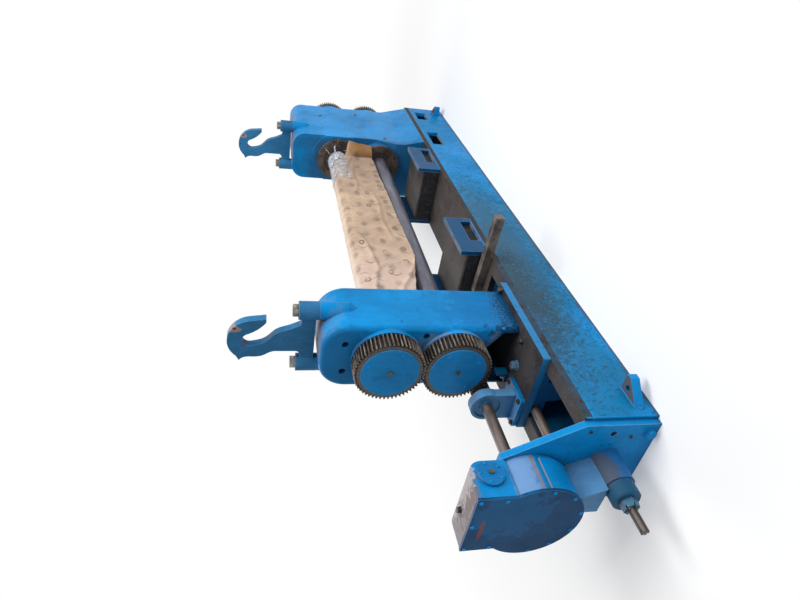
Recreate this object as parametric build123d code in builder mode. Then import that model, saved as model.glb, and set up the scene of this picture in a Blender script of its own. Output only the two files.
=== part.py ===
"""Twin-arbor slitter head of a coil slitting line, on its own welded bed.

Millimetres. +X runs along the arbors from the crank end to the drive end, -Y is the operator's
side, +Z is up. The origin is the middle of the bed's footprint on the floor.
"""

import os
from math import atan2, cos, degrees, pi, radians, sin, sqrt

from build123d import *

os.makedirs("parts", exist_ok=True)

# Bed
bed_length = 3710.0
bed_width = 430.0
bed_height = 330.0
bed_wall = 28.0
bed_floor_thickness = 20.0
way_length = 1110.0
way_width = 76.0
way_thickness = 34.0
rib_thickness = 20.0
rib_spacing = 850.0
end_rib_inset = 20.0
wall_window_height = 95.0
wall_window_sill = 165.0
wall_window_lead = 30.0
wall_window_length = 262.0
end_window_length = 173.0
end_window_inset = 117.0

# Cross pads, window plates, lugs and cross bar
near_pad_gap = 115.0
far_pad_gap = 145.0
pad_length = 390.0
pad_rise = 122.0
pad_chamfer = 8.0
window_plate_rise = 158.0
window_plate_thickness = 25.0
plate_window_length = 224.0
plate_window_height = 66.0
plate_window_sill = 6.0
plate_window_lead = 124.0
lug_length = 118.0
lug_reach = 76.0
lug_tip_length = 26.0
lug_thickness = 42.0
lug_top = 90.0
lug_setback = 42.0
lug_hole_diameter = 26.0
lug_hole_inset = 36.0
lug_hole_reach = 30.0
bar_gap = 60.0
bar_width = 46.0
bar_length = 500.0
bar_overhang = 250.0
bar_angle = 4.0

# Arbors and gears
arbor_diameter = 127.0
arbor_rise = 335.0
gear_module = 6.0
ring_teeth = 53
pinion_teeth = 14
input_teeth = 33
ring_face = 80.0
pinion_face = 76.0
drive_face = 90.0
web_recess = 16.0
web_rim = 32.0
web_hub = 28.0
addendum = 0.95
dedendum = 1.25
pitch_share = 0.45
flank_slope = 0.36
root_relief = 0.5

# Crank-end plate
end_plate_thickness = 30.0
end_plate_inset = 15.0
end_plate_rise = 123.0
end_plate_shoulder = 177.0
end_hole_diameter = 28.0
end_hole_offset = 152.0
end_hole_height = 198.0

# Worm case beside the end plate, centred on the adjusting shaft
adjust_offset = 136.0
adjust_shaft_diameter = 53.0
adjust_shaft_seat = 60.0
case_depth = 175.0
case_radius = 197.0
case_ledge_width = 10.0
case_ledge_drop = 17.0
case_ledge_setback = 20.0
case_block_right = 165.0
case_block_left = 149.0
case_block_bottom = 110.0
case_corner_radius = 60.0
case_cover_thickness = 12.0
case_cover_overhang = 2.0
worm_rise = 188.0
worm_setback = 22.0
case_top_rise = 80.0
worm_cap_diameter = 108.0
worm_cap_thickness = 14.0
worm_cap_chamfer = 2.0
worm_plug_diameter = 18.0
worm_plug_height = 6.0
foot_setback = 20.0
foot_rise = 120.0
foot_top_right = 44.0
foot_bottom_right = -18.0
foot_left = 120.0
foot_lap = 4.0

# Crank boss, screw and guide bar
crank_height = 185.0
crank_boss_diameter = 130.0
crank_boss_length = 135.0
crank_collar_diameter = 116.0
crank_collar_length = 66.0
crank_collar_chamfer = 6.0
crank_nut_flats = 60.0
crank_nut_length = 34.0
nut_slot_width = 7.0
nut_slot_depth = 9.0
screw_diameter = 40.0
screw_nose = 4.0
spline_diameter = 34.0
spline_length = 92.0
spline_groove_width = 7.0
spline_groove_depth = 4.5
guide_bar_diameter = 45.0
guide_bar_drop = 27.0
guide_bar_gap = 12.5

# Travelling carriage
carriage_setback = 340.0
slide_plate_length = 590.0
slide_plate_thickness = 36.0
slide_plate_chamfer = 4.0
slide_block_front = 14.0
slide_block_back = 26.0
way_guide_depth = 44.0
bar_guide_depth = 70.0
screw_nut_top = 60.0
screw_nut_bottom = 46.0
screw_nut_depth = 44.0
pillow_pad_inset = 8.0
pillow_pad_length = 168.0
pillow_pad_width = 172.0
pillow_pad_thickness = 22.0
pillow_pad_corner = 18.0
pillow_inset = 60.0
pillow_thickness = 44.0
pillow_ring_diameter = 158.0
pillow_foot_width = 148.0
pillow_foot_height = 24.0
pillow_neck_inset = 6.0
pillow_neck_drop = 30.0
pillow_rim = 14.0
pillow_hub = 7.0
pillow_recess = 8.0

# Outboard housing on the carriage
housing_inset = 254.0
housing_thickness = 303.0
housing_width = 352.0
housing_crown_rise = 307.0
shoulder_radius = 132.0
housing_rim_radius = 24.0
leg_opening_drop = 153.0
leg_opening_run = 96.0
leg_opening_fall = 70.0
leg_thickness = 24.0
housing_back_wall = 28.0
gear_collar_diameter = 334.0
gear_collar_thickness = 20.0
face_hole_diameter = 32.0
face_hole_depth = 40.0
top_hole_offset = 79.0
top_hole_rise = 198.0
middle_hole_offset = 130.0
middle_hole_drop = 169.0
sleeve_diameter = 240.0
sleeve_flange_gap = 18.0
sleeve_flange_thickness = 18.0
gear_cap_diameter = 270.0
gear_cap_thickness = 14.0
gear_cap_proud = 4.0
gear_cap_chamfer = 2.0

# Lifting hooks on the housings
post_diameter = 86.0
post_spacing = 306.0
post_drop = 2.0
post_runout = 60.0
post_taper = 24.0
hook_tube_length = 94.0
hook_nut_flats = 50.0
hook_nut_height = 27.0
hook_gap = 12.0
hook_thickness = 38.0
hook_shoulder = 64.0
hook_root_radius = 22.0
hook_stem_back = 71.0
hook_stem_straight = 106.0
hook_back_line = ((80.0, 142.0), (97.0, 170.0), (104.0, 206.0), (104.0, 240.0))
hook_spur = (125.0, 276.0)
hook_radius = 117.0
hook_offset = 12.0
hook_rise = 211.0
hook_back_angle = 42.0
hook_beak_angle = 170.0
hook_beak_reach = 113.0
hook_beak_rise = 156.0
hook_beak_width = 19.0
hook_beak_bow = (46.0, 205.0)
throat_radius = 34.0
throat_offset = 5.0
throat_rise = 228.0
throat_beak_angle = 163.0
throat_stem_angle = -14.0
stem_front_line = ((27.0, 178.0), (-2.0, 140.0), (-30.0, 114.0), (-47.0, 81.0), (-59.0, 48.0), (-75.0, 16.0))
hook_stem_front = 108.0

# Drive housing
drive_length = 750.0
drive_end_inset = 20.0
drive_foot_step = 60.0
drive_crown_rise = 343.0
drive_shoulder_radius = 92.0
drive_rim_radius = 60.0
drive_collar_thickness = 14.0
drive_arch_radius = 200.0
drive_arch_thickness = 12.0
ledge_drop = 115.0
ledge_rise = 35.0
right_ledge_rise = 150.0
bulge_reach = 40.0
drive_flange_gap = 6.0
drive_flange_thickness = 24.0
flange_rim = 48.0
flange_lap = 8.0
drive_gear_gap = 30.0
flange_running_gap = 8.0
outer_flange_diameter = 236.0
input_flange_diameter = 150.0
input_collar_diameter = 222.0
drive_hook_setback = 190.0
side_boss_rise = 68.0
side_boss_setback = 185.0
side_boss_margin = 6.0
side_boss_depth = 115.0
side_cap_steps = ((200.0, 16.0), (128.0, 14.0), (60.0, 40.0))

# Shaft ends
gear_seat_diameter = 110.0
stub_diameter = 104.0
stub_length = 150.0
stub_chamfer = 5.0
lower_tail = 12.0
input_offset = 154.0
input_seat_diameter = 76.0
input_stub_diameter = 70.0
input_stub_length = 110.0
input_shaft_depth = 160.0
arbor_end_setback = 8.0

# Paper and film round the upper arbor
wrap_start = 26.0
wrap_thickness = 11.0
skirt_drop = 268.0
film_length = 110.0
film_thickness = 14.0
film_end_gap = 3.0

# Clearances
running_clearance = 0.05
slide_clearance = 0.3
guide_clearance = 5.0
seat_clearance = 1.0
soft_clearance = 0.4
bore_clearance = 4.0

# Worked out from the sizes above
near_x = -bed_length / 2
far_x = bed_length / 2
half_width = bed_width / 2
half_housing = housing_width / 2
bed_top = bed_height
deck_x = near_x + way_length
ring_pitch_radius = gear_module * ring_teeth / 2
pinion_pitch_radius = gear_module * pinion_teeth / 2
input_pitch_radius = gear_module * input_teeth / 2
arbor_spacing = 2 * ring_pitch_radius
arbor_height = bed_top + arbor_rise
arbor_heights = (arbor_height, arbor_height + arbor_spacing)
adjust_height = arbor_height - sqrt((ring_pitch_radius + pinion_pitch_radius) ** 2 - adjust_offset**2)
input_height = arbor_height - sqrt((ring_pitch_radius + input_pitch_radius) ** 2 - input_offset**2)
worm_height = adjust_height + worm_rise
case_top = worm_height + case_top_rise
case_back_x = near_x - end_plate_thickness
case_front_x = case_back_x - case_depth
carriage_bottom = bed_top + slide_clearance
plate_top = carriage_bottom + slide_plate_thickness
carriage_x = near_x + carriage_setback
housing_x = carriage_x + housing_inset
housing_back_x = housing_x + housing_thickness
housing_crown = arbor_heights[1] + housing_crown_rise
gear_back_x = housing_x - gear_collar_thickness - slide_clearance
gear_front_x = gear_back_x - ring_face
sleeve_flange_diameter = arbor_spacing - sleeve_flange_gap
drive_end_x = far_x - drive_end_inset
drive_x = drive_end_x - drive_length
drive_foot_x = drive_x - drive_foot_step
drive_gear_x = drive_end_x + drive_gear_gap
drive_crown = arbor_heights[1] + drive_crown_rise
drive_flange_diameter = arbor_spacing - drive_flange_gap
ledge_low = arbor_height - ledge_drop
ledge_high = arbor_height + ledge_rise
bulge_y = half_width + bulge_reach


def across(x):
    """Sketch plane square to the arbors at x, with Y to the right and Z up."""
    return Plane.YZ.offset(x)


def about(x, y, z):
    """Sketch plane square to the arbors, centred on the point given."""
    return Plane(origin=(x, y, z), x_dir=(0, 1, 0), z_dir=(1, 0, 0))


def finish(part, name):
    """Label a finished piece and write its STEP file."""
    part.part.label = name
    export_step(part.part, f"parts/{name}.step")


def on_circle(middle, radius, angle):
    """Point of a circle at an angle in degrees."""
    return (middle[0] + radius * cos(radians(angle)), middle[1] + radius * sin(radians(angle)))


def gear_outline(teeth, phase):
    """Corner points of a spur gear with straight flanks; phase turns the first tooth, in degrees."""
    pitch_radius = gear_module * teeth / 2
    tip = pitch_radius + addendum * gear_module
    root = pitch_radius - dedendum * gear_module
    half_pitch = pi * gear_module * pitch_share / 2
    tip_angle = (half_pitch - addendum * gear_module * flank_slope) / tip
    root_angle = (half_pitch + dedendum * gear_module * flank_slope * root_relief) / root
    points = []
    for tooth in range(teeth):
        middle = radians(phase) + 2 * pi * tooth / teeth
        for radius, angle in ((root, -root_angle), (tip, -tip_angle), (tip, tip_angle), (root, root_angle)):
            points.append((radius * cos(middle + angle), radius * sin(middle + angle)))
    return points


def mesh_phase(teeth, other_teeth, other_phase, direction):
    """Phase, in degrees, of a gear in mesh with another one, seen from it in that direction."""
    other_pitch = 360.0 / other_teeth
    offset = (other_phase - direction) % other_pitch
    travel = radians(offset) * other_teeth + pi
    return direction + 180.0 - degrees(travel / teeth)


def hook_profile(base_z):
    """Face of a lifting hook plate in the Y-Z plane, opening to -Y, above the height base_z."""
    half_spacing = post_spacing / 2
    shoulder_z = base_z + hook_shoulder
    root_z = shoulder_z + hook_root_radius
    crook = (hook_offset, shoulder_z + hook_rise)
    throat = (throat_offset, shoulder_z + throat_rise)
    crown_back = on_circle(crook, hook_radius, hook_back_angle)
    crown_middle = on_circle(crook, hook_radius, (hook_back_angle + hook_beak_angle) / 2)
    crown_beak = on_circle(crook, hook_radius, hook_beak_angle)
    beak_tip = (-hook_beak_reach, shoulder_z + hook_beak_rise)
    beak_inside = (-hook_beak_reach + hook_beak_width, shoulder_z + hook_beak_rise)
    beak_bow = (-hook_beak_bow[0], shoulder_z + hook_beak_bow[1])
    throat_beak = on_circle(throat, throat_radius, throat_beak_angle)
    throat_top = on_circle(throat, throat_radius, (throat_beak_angle + throat_stem_angle) / 2)
    throat_stem = on_circle(throat, throat_radius, throat_stem_angle)
    stem_down = (sin(radians(throat_stem_angle)), -cos(radians(throat_stem_angle)))
    front_line = [(y, shoulder_z + rise) for y, rise in stem_front_line]
    back_line = [(y, shoulder_z + rise) for y, rise in hook_back_line]
    spur = (hook_spur[0], shoulder_z + hook_spur[1])
    with BuildLine() as outline:
        Line((half_spacing, base_z), (half_spacing, shoulder_z))
        Line((half_spacing, shoulder_z), (hook_stem_back + hook_root_radius, shoulder_z))
        RadiusArc((hook_stem_back + hook_root_radius, shoulder_z), (hook_stem_back, root_z), hook_root_radius)
        Line((hook_stem_back, root_z), (hook_stem_back, shoulder_z + hook_stem_straight))
        Spline((hook_stem_back, shoulder_z + hook_stem_straight), *back_line, spur)
        Line(spur, crown_back)
        ThreePointArc(crown_back, crown_middle, crown_beak)
        Line(crown_beak, beak_tip)
        Line(beak_tip, beak_inside)
        ThreePointArc(beak_inside, beak_bow, throat_beak)
        ThreePointArc(throat_beak, throat_top, throat_stem)
        Spline(throat_stem, *front_line, (-hook_stem_front, shoulder_z), tangents=[stem_down, (-1, 0)])
        Line((-hook_stem_front, shoulder_z), (-half_spacing, shoulder_z))
        Line((-half_spacing, shoulder_z), (-half_spacing, base_z))
        Line((-half_spacing, base_z), (half_spacing, base_z))
    return outline.line


def lifting_hook(x, crown):
    """Hook plate with a tube at each end, standing on the posts of a housing at x."""
    with BuildPart() as hook:
        with BuildSketch(across(x - hook_thickness / 2)):
            add(hook_profile(crown + hook_gap))
            make_face()
        extrude(amount=hook_thickness)
        with BuildSketch(Plane.XY.offset(crown - post_drop)):
            with Locations((x, -post_spacing / 2), (x, post_spacing / 2)):
                Circle(post_diameter / 2)
        extrude(amount=hook_tube_length)
    return hook


def hook_nuts(x, crown):
    """Nuts on top of the two hook tubes."""
    with BuildPart() as nuts:
        with BuildSketch(Plane.XY.offset(crown - post_drop + hook_tube_length)):
            with Locations((x, -post_spacing / 2), (x, post_spacing / 2)):
                RegularPolygon(hook_nut_flats / 2, 6, major_radius=False)
        extrude(amount=hook_nut_height)
    return nuts


def post_bosses(x, crown, corner):
    """Round bosses up both shoulders of a housing, pointed where they run out below the corner."""
    with BuildSketch(Plane.XY.offset(crown - corner)) as bosses:
        with Locations((x, -post_spacing / 2), (x, post_spacing / 2)):
            Circle(post_diameter / 2)
    extrude(bosses.sketch, amount=corner - post_drop)
    extrude(bosses.sketch, amount=post_runout, dir=(0, 0, -1), taper=post_taper)


# Bed side walls, with windows under the drive housing
first_window_x = drive_foot_x - wall_window_lead + wall_window_length / 2
end_window_x = far_x - end_window_inset - end_window_length / 2
for wall_y, name in ((-half_width, "right_wall"), (half_width - bed_wall, "left_wall")):
    with BuildPart() as wall:
        with BuildSketch(Plane.XZ.offset(-wall_y)):
            with Locations((0, (bed_height - way_thickness) / 2)):
                Rectangle(bed_length, bed_height - way_thickness)
            with Locations((first_window_x, wall_window_sill + wall_window_height / 2)):
                Rectangle(wall_window_length, wall_window_height, mode=Mode.SUBTRACT)
            with Locations((end_window_x, wall_window_sill + wall_window_height / 2)):
                Rectangle(end_window_length, wall_window_height, mode=Mode.SUBTRACT)
        extrude(amount=-bed_wall)
    finish(wall, name)

# Bed floor, cross ribs and the closing rib at the drive end
with BuildPart() as bed_floor:
    with BuildSketch(Plane.XY):
        Rectangle(bed_length, bed_width - 2 * bed_wall)
    extrude(amount=bed_floor_thickness)
finish(bed_floor, "bed_floor")

rib_places = [deck_x + rib * rib_spacing for rib in range(3)] + [far_x - end_rib_inset - rib_thickness]
with BuildPart() as bed_ribs:
    for rib_x in rib_places:
        with BuildSketch(across(rib_x)):
            with Locations((0, (bed_floor_thickness + bed_height - way_thickness) / 2)):
                Rectangle(bed_width - 2 * bed_wall, bed_height - way_thickness - bed_floor_thickness)
        extrude(amount=rib_thickness)
finish(bed_ribs, "bed_ribs")

# Flat ways that carry the carriage, and the deck behind them
with BuildPart() as ways:
    with BuildSketch(Plane.XY.offset(bed_height - way_thickness)):
        with Locations(
            (near_x + way_length / 2, -half_width + way_width / 2),
            (near_x + way_length / 2, half_width - way_width / 2),
        ):
            Rectangle(way_length, way_width)
    extrude(amount=way_thickness)
finish(ways, "ways")

with BuildPart() as deck_plate:
    with BuildSketch(Plane.XY.offset(bed_height - way_thickness)):
        with Locations(((deck_x + far_x) / 2, 0)):
            Rectangle(far_x - deck_x, bed_width)
    extrude(amount=way_thickness)
finish(deck_plate, "deck_plate")

# Raised cross pads with a window plate at each end
pad_places = (deck_x + near_pad_gap, drive_foot_x - far_pad_gap - pad_length)
with BuildPart() as cross_pads:
    for pad_x in pad_places:
        with BuildSketch(Plane.XY.offset(bed_top)):
            with Locations((pad_x + pad_length / 2, 0)):
                Rectangle(pad_length, bed_width - 2 * window_plate_thickness)
        extrude(amount=pad_rise)
    chamfer(cross_pads.edges().group_by(Axis.Z)[-1], pad_chamfer)
finish(cross_pads, "cross_pads")

with BuildPart() as window_plates:
    for pad_x in pad_places:
        for plate_y in (-half_width, half_width - window_plate_thickness):
            with BuildSketch(Plane.XZ.offset(-plate_y)):
                with Locations((pad_x + pad_length / 2, bed_top + window_plate_rise / 2)):
                    Rectangle(pad_length, window_plate_rise)
                window_x = pad_x + plate_window_lead + plate_window_length / 2
                with Locations((window_x, bed_top + plate_window_sill + plate_window_height / 2)):
                    Rectangle(plate_window_length, plate_window_height, mode=Mode.SUBTRACT)
            extrude(amount=-window_plate_thickness)
finish(window_plates, "window_plates")

# Triangular anchor lugs near the four corners of the bed
with BuildPart() as anchor_lugs:
    for end in (-1, 1):
        for side in (-1, 1):
            root_y = side * half_width
            tip_x = end * (far_x - lug_setback)
            inner_x = tip_x - end * lug_length
            with BuildSketch(Plane.XY.offset(lug_top - lug_thickness)):
                with BuildLine():
                    Polyline(
                        (tip_x, root_y),
                        (inner_x, root_y),
                        (inner_x, root_y + side * lug_reach),
                        (inner_x + end * lug_tip_length, root_y + side * lug_reach),
                        close=True,
                    )
                make_face()
                with Locations((inner_x + end * lug_hole_inset, root_y + side * lug_hole_reach)):
                    Circle(lug_hole_diameter / 2, mode=Mode.SUBTRACT)
            extrude(amount=lug_thickness)
finish(anchor_lugs, "anchor_lugs")

# Bare bar lying across the deck in front of the first pad
bar_start = Plane(origin=(pad_places[0] - bar_gap, -bar_overhang - half_width, bed_top), z_dir=(0, 0, 1))
with BuildPart() as cross_bar:
    with BuildSketch(bar_start.rotated((0, 0, -bar_angle))):
        with Locations((0, bar_length / 2)):
            Rectangle(bar_width, bar_length)
    extrude(amount=bar_width)
finish(cross_bar, "cross_bar")

# End plate with sloping shoulders, bored for the screw and the adjusting shaft
with BuildPart() as end_plate:
    with BuildSketch(across(case_back_x)):
        with BuildLine():
            Polyline(
                (-half_width + end_plate_inset, 0),
                (-half_width + end_plate_inset, bed_height),
                (adjust_offset - case_block_right, adjust_height + end_plate_rise),
                (adjust_offset + case_block_left, adjust_height + end_plate_rise),
                (adjust_offset + end_plate_shoulder, adjust_height),
                (half_width - end_plate_inset, bed_height),
                (half_width - end_plate_inset, 0),
                close=True,
            )
        make_face()
        with Locations((0, crank_height)):
            Circle(screw_diameter / 2 + running_clearance, mode=Mode.SUBTRACT)
        with Locations((adjust_offset, adjust_height)):
            Circle(adjust_shaft_diameter / 2 + running_clearance, mode=Mode.SUBTRACT)
        with Locations((-end_hole_offset, end_hole_height)):
            Circle(end_hole_diameter / 2, mode=Mode.SUBTRACT)
    extrude(amount=end_plate_thickness)
finish(end_plate, "end_plate")


def case_sketch(radius, margin):
    """Outline of the worm case: a worm block, wider by the margin, over a round wheel case."""
    with Locations((adjust_offset, adjust_height)):
        Circle(radius)
    block_bottom = adjust_height + case_block_bottom
    block_height = case_top + margin - block_bottom
    with Locations((adjust_offset + (case_block_left - case_block_right) / 2, block_bottom + block_height / 2)):
        Rectangle(case_block_left + case_block_right + 2 * margin, block_height)


# Worm case with its split ledge, cover and end cap
with BuildPart() as gear_case:
    with BuildSketch(across(case_front_x + case_cover_thickness)):
        case_sketch(case_radius - case_ledge_width, 0)
    extrude(amount=case_depth - case_cover_thickness)
    top_edges = gear_case.edges().filter_by(Axis.Y).group_by(Axis.Z)[-1]
    fillet(top_edges.sort_by(Axis.X)[-1], case_corner_radius)
    ledge_z = adjust_height - case_ledge_drop
    with BuildSketch(across(case_front_x + case_cover_thickness)):
        with Locations((adjust_offset, adjust_height)):
            Circle(case_radius)
        with Locations((adjust_offset, ledge_z + case_radius)):
            Rectangle(3 * case_radius, 2 * case_radius, mode=Mode.SUBTRACT)
    extrude(amount=case_depth - case_cover_thickness - case_ledge_setback)
    with BuildSketch(across(case_back_x - adjust_shaft_seat)):
        with Locations((adjust_offset, adjust_height)):
            Circle(adjust_shaft_diameter / 2 + running_clearance)
    extrude(amount=adjust_shaft_seat, mode=Mode.SUBTRACT)
finish(gear_case, "gear_case")

with BuildPart() as case_cover:
    with BuildSketch(across(case_front_x)):
        case_sketch(case_radius + case_cover_overhang, case_cover_overhang)
    extrude(amount=case_cover_thickness)
finish(case_cover, "case_cover")

worm_cap_x = (case_front_x + case_back_x) / 2 + worm_setback
worm_cap_y = adjust_offset - case_block_right
with BuildPart() as worm_cap:
    with BuildSketch(Plane.XZ.offset(-worm_cap_y)):
        with Locations((worm_cap_x, worm_height)):
            Circle(worm_cap_diameter / 2)
    extrude(amount=worm_cap_thickness)
    chamfer(worm_cap.faces().sort_by(Axis.Y)[0].edges(), worm_cap_chamfer)
    with BuildSketch(Plane.XZ.offset(-worm_cap_y + worm_cap_thickness)):
        with Locations((worm_cap_x, worm_height)):
            RegularPolygon(worm_plug_diameter / 2, 6)
    extrude(amount=worm_plug_height)
finish(worm_cap, "worm_cap")

# Foot between the round case and the crank boss
boss_top = crank_height + crank_boss_diameter / 2 - foot_lap
with BuildPart() as case_foot:
    with BuildSketch(across(case_front_x + foot_setback)):
        with BuildLine():
            Polyline(
                (foot_top_right, adjust_height - foot_rise),
                (foot_bottom_right, boss_top),
                (foot_left, boss_top),
                (foot_left, adjust_height - foot_rise),
                close=True,
            )
        make_face()
        with Locations((adjust_offset, adjust_height)):
            Circle(case_radius, mode=Mode.SUBTRACT)
        with Locations((0, crank_height)):
            Circle(crank_boss_diameter / 2, mode=Mode.SUBTRACT)
    extrude(amount=case_depth - foot_setback)
finish(case_foot, "case_foot")

# Crank boss, screw, nut and splined end
boss_front_x = case_back_x - crank_boss_length
collar_front_x = boss_front_x - crank_collar_length
with BuildPart() as crank_boss:
    with BuildSketch(across(boss_front_x)):
        with Locations((0, crank_height)):
            Circle(crank_boss_diameter / 2)
    extrude(amount=crank_boss_length)
    with BuildSketch(across(collar_front_x)):
        with Locations((0, crank_height)):
            Circle(crank_collar_diameter / 2)
    extrude(amount=crank_collar_length)
    chamfer(crank_boss.faces().sort_by(Axis.X)[0].edges(), crank_collar_chamfer)
    with BuildSketch(across(collar_front_x)):
        with Locations((0, crank_height)):
            Circle(screw_diameter / 2 + running_clearance)
    extrude(amount=crank_boss_length + crank_collar_length, mode=Mode.SUBTRACT)
finish(crank_boss, "crank_boss")

nut_front_x = collar_front_x - crank_nut_length
with BuildPart() as crank_nut:
    with BuildSketch(across(nut_front_x)):
        with Locations((0, crank_height)):
            RegularPolygon(crank_nut_flats / 2, 6, major_radius=False)
            Circle(screw_diameter / 2 + running_clearance, mode=Mode.SUBTRACT)
    extrude(amount=crank_nut_length)
    with BuildSketch(across(nut_front_x)):
        with Locations((0, crank_height)):
            with PolarLocations(crank_nut_flats / 2, 6):
                Rectangle(crank_nut_flats / 2, nut_slot_width)
    extrude(amount=nut_slot_depth, mode=Mode.SUBTRACT)
finish(crank_nut, "crank_nut")

screw_front_x = nut_front_x - screw_nose
with BuildPart() as lead_screw:
    with BuildSketch(across(screw_front_x)):
        with Locations((0, crank_height)):
            Circle(screw_diameter / 2)
    extrude(amount=deck_x - screw_front_x)
    with BuildSketch(across(screw_front_x - spline_length)):
        with Locations((0, crank_height)):
            Circle(spline_diameter / 2)
            with PolarLocations(spline_diameter / 2, 6):
                Rectangle(2 * spline_groove_depth, spline_groove_width, mode=Mode.SUBTRACT)
    extrude(amount=spline_length)
finish(lead_screw, "lead_screw")

# Guide bar under the carriage and the long adjusting shaft
guide_bar_y = half_width - way_width - guide_bar_gap - guide_bar_diameter / 2
guide_bar_z = bed_top - guide_bar_drop
with BuildPart() as guide_bar:
    with BuildSketch(across(near_x)):
        with Locations((guide_bar_y, guide_bar_z)):
            Circle(guide_bar_diameter / 2)
    extrude(amount=way_length)
finish(guide_bar, "guide_bar")

with BuildPart() as adjust_shaft:
    with BuildSketch(across(case_back_x - adjust_shaft_seat)):
        with Locations((adjust_offset, adjust_height)):
            Circle(adjust_shaft_diameter / 2)
    extrude(amount=gear_back_x - case_back_x + adjust_shaft_seat)
finish(adjust_shaft, "adjust_shaft")

# Slide plate and the nut block that hangs from it between the ways
with BuildPart() as slide_plate:
    with BuildSketch(Plane.XY.offset(carriage_bottom)):
        with Locations((carriage_x + slide_plate_length / 2, 0)):
            Rectangle(slide_plate_length, bed_width)
    extrude(amount=slide_plate_thickness)
    chamfer(slide_plate.edges().filter_by(Axis.Z), slide_plate_chamfer)
finish(slide_plate, "slide_plate")

block_half = half_width - way_width - guide_clearance
with BuildPart() as slide_block:
    with BuildSketch(across(carriage_x + slide_block_front)):
        with BuildLine():
            Polyline(
                (-block_half, carriage_bottom),
                (-block_half, carriage_bottom - way_guide_depth),
                (-screw_nut_top, carriage_bottom - way_guide_depth),
                (-screw_nut_bottom, crank_height - screw_nut_depth),
                (screw_nut_bottom, crank_height - screw_nut_depth),
                (screw_nut_top, carriage_bottom - bar_guide_depth),
                (block_half, carriage_bottom - bar_guide_depth),
                (block_half, carriage_bottom),
                close=True,
            )
        make_face()
        with Locations((0, crank_height)):
            Circle(screw_diameter / 2 + running_clearance, mode=Mode.SUBTRACT)
        with Locations((guide_bar_y, guide_bar_z)):
            Circle(guide_bar_diameter / 2 + running_clearance, mode=Mode.SUBTRACT)
    extrude(amount=slide_plate_length - slide_block_front - slide_block_back)
finish(slide_block, "slide_block")

# Pillow block on its pad, carrying the adjusting shaft
with BuildPart() as pillow_pad:
    with BuildSketch(Plane.XY.offset(plate_top)):
        with Locations((carriage_x + pillow_pad_inset + pillow_pad_length / 2, adjust_offset)):
            RectangleRounded(pillow_pad_length, pillow_pad_width, pillow_pad_corner)
    extrude(amount=pillow_pad_thickness)
finish(pillow_pad, "pillow_pad")

pillow_foot_z = plate_top + pillow_pad_thickness
pillow_neck = pillow_ring_diameter / 2 - pillow_neck_inset
with BuildPart() as pillow_block:
    with BuildSketch(across(carriage_x + pillow_inset)):
        with Locations((adjust_offset, adjust_height)):
            Circle(pillow_ring_diameter / 2)
        with BuildLine():
            Polyline(
                (adjust_offset - pillow_foot_width / 2, pillow_foot_z),
                (adjust_offset - pillow_foot_width / 2, pillow_foot_z + pillow_foot_height),
                (adjust_offset - pillow_neck, adjust_height - pillow_neck_drop),
                (adjust_offset + pillow_neck, adjust_height - pillow_neck_drop),
                (adjust_offset + pillow_foot_width / 2, pillow_foot_z + pillow_foot_height),
                (adjust_offset + pillow_foot_width / 2, pillow_foot_z),
                close=True,
            )
        make_face()
        with Locations((adjust_offset, adjust_height)):
            Circle(adjust_shaft_diameter / 2 + running_clearance, mode=Mode.SUBTRACT)
    extrude(amount=pillow_thickness)
    with BuildSketch(across(carriage_x + pillow_inset)):
        with Locations((adjust_offset, adjust_height)):
            Circle(pillow_ring_diameter / 2 - pillow_rim)
            Circle(adjust_shaft_diameter / 2 + pillow_hub, mode=Mode.SUBTRACT)
    extrude(amount=pillow_recess, mode=Mode.SUBTRACT)
finish(pillow_block, "pillow_block")

# Outboard housing on two legs, with gear collars, post bosses and lifting holes
housing_middle_x = housing_x + housing_thickness / 2
opening_half = half_housing - leg_thickness
opening_top = arbor_height - leg_opening_drop
with BuildPart() as outboard_housing:
    with BuildSketch(across(housing_x)):
        with Locations((0, (plate_top + housing_crown) / 2)):
            Rectangle(housing_width, housing_crown - plate_top)
    extrude(amount=housing_thickness)
    fillet(outboard_housing.edges().filter_by(Axis.X).group_by(Axis.Z)[-1], shoulder_radius)
    front_rim = outboard_housing.faces().sort_by(Axis.X)[0].edges()
    fillet(front_rim.filter_by(lambda edge: edge.center().Z > opening_top), housing_rim_radius)
    post_bosses(housing_middle_x, housing_crown, shoulder_radius)
    with BuildSketch(across(housing_x - gear_collar_thickness)):
        for height in arbor_heights:
            with Locations((0, height)):
                Circle(gear_collar_diameter / 2)
    extrude(amount=gear_collar_thickness + housing_rim_radius)
    with BuildSketch(across(housing_x - gear_collar_thickness)):
        for height in arbor_heights:
            with Locations((0, height)):
                Circle(sleeve_diameter / 2 + running_clearance)
    extrude(amount=housing_thickness + gear_collar_thickness, mode=Mode.SUBTRACT)
    with BuildSketch(across(housing_x)):
        with BuildLine():
            Polyline(
                (-opening_half, plate_top),
                (-opening_half, opening_top - leg_opening_fall),
                (-opening_half + leg_opening_run, opening_top),
                (opening_half - leg_opening_run, opening_top),
                (opening_half, opening_top - leg_opening_fall),
                (opening_half, plate_top),
                close=True,
            )
        make_face()
    extrude(amount=housing_thickness - housing_back_wall, mode=Mode.SUBTRACT)
    with BuildSketch(across(housing_x)):
        with Locations((adjust_offset, adjust_height)):
            Circle(adjust_shaft_diameter / 2 + guide_clearance)
    extrude(amount=housing_thickness, mode=Mode.SUBTRACT)
    with BuildSketch(across(housing_x)):
        for side in (-1, 1):
            with Locations(
                (side * top_hole_offset, arbor_heights[1] + top_hole_rise),
                (side * middle_hole_offset, arbor_heights[1] - middle_hole_drop),
            ):
                Circle(face_hole_diameter / 2)
    extrude(amount=face_hole_depth, mode=Mode.SUBTRACT)
finish(outboard_housing, "outboard_housing")
finish(lifting_hook(housing_middle_x, housing_crown), "outboard_hook")
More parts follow.
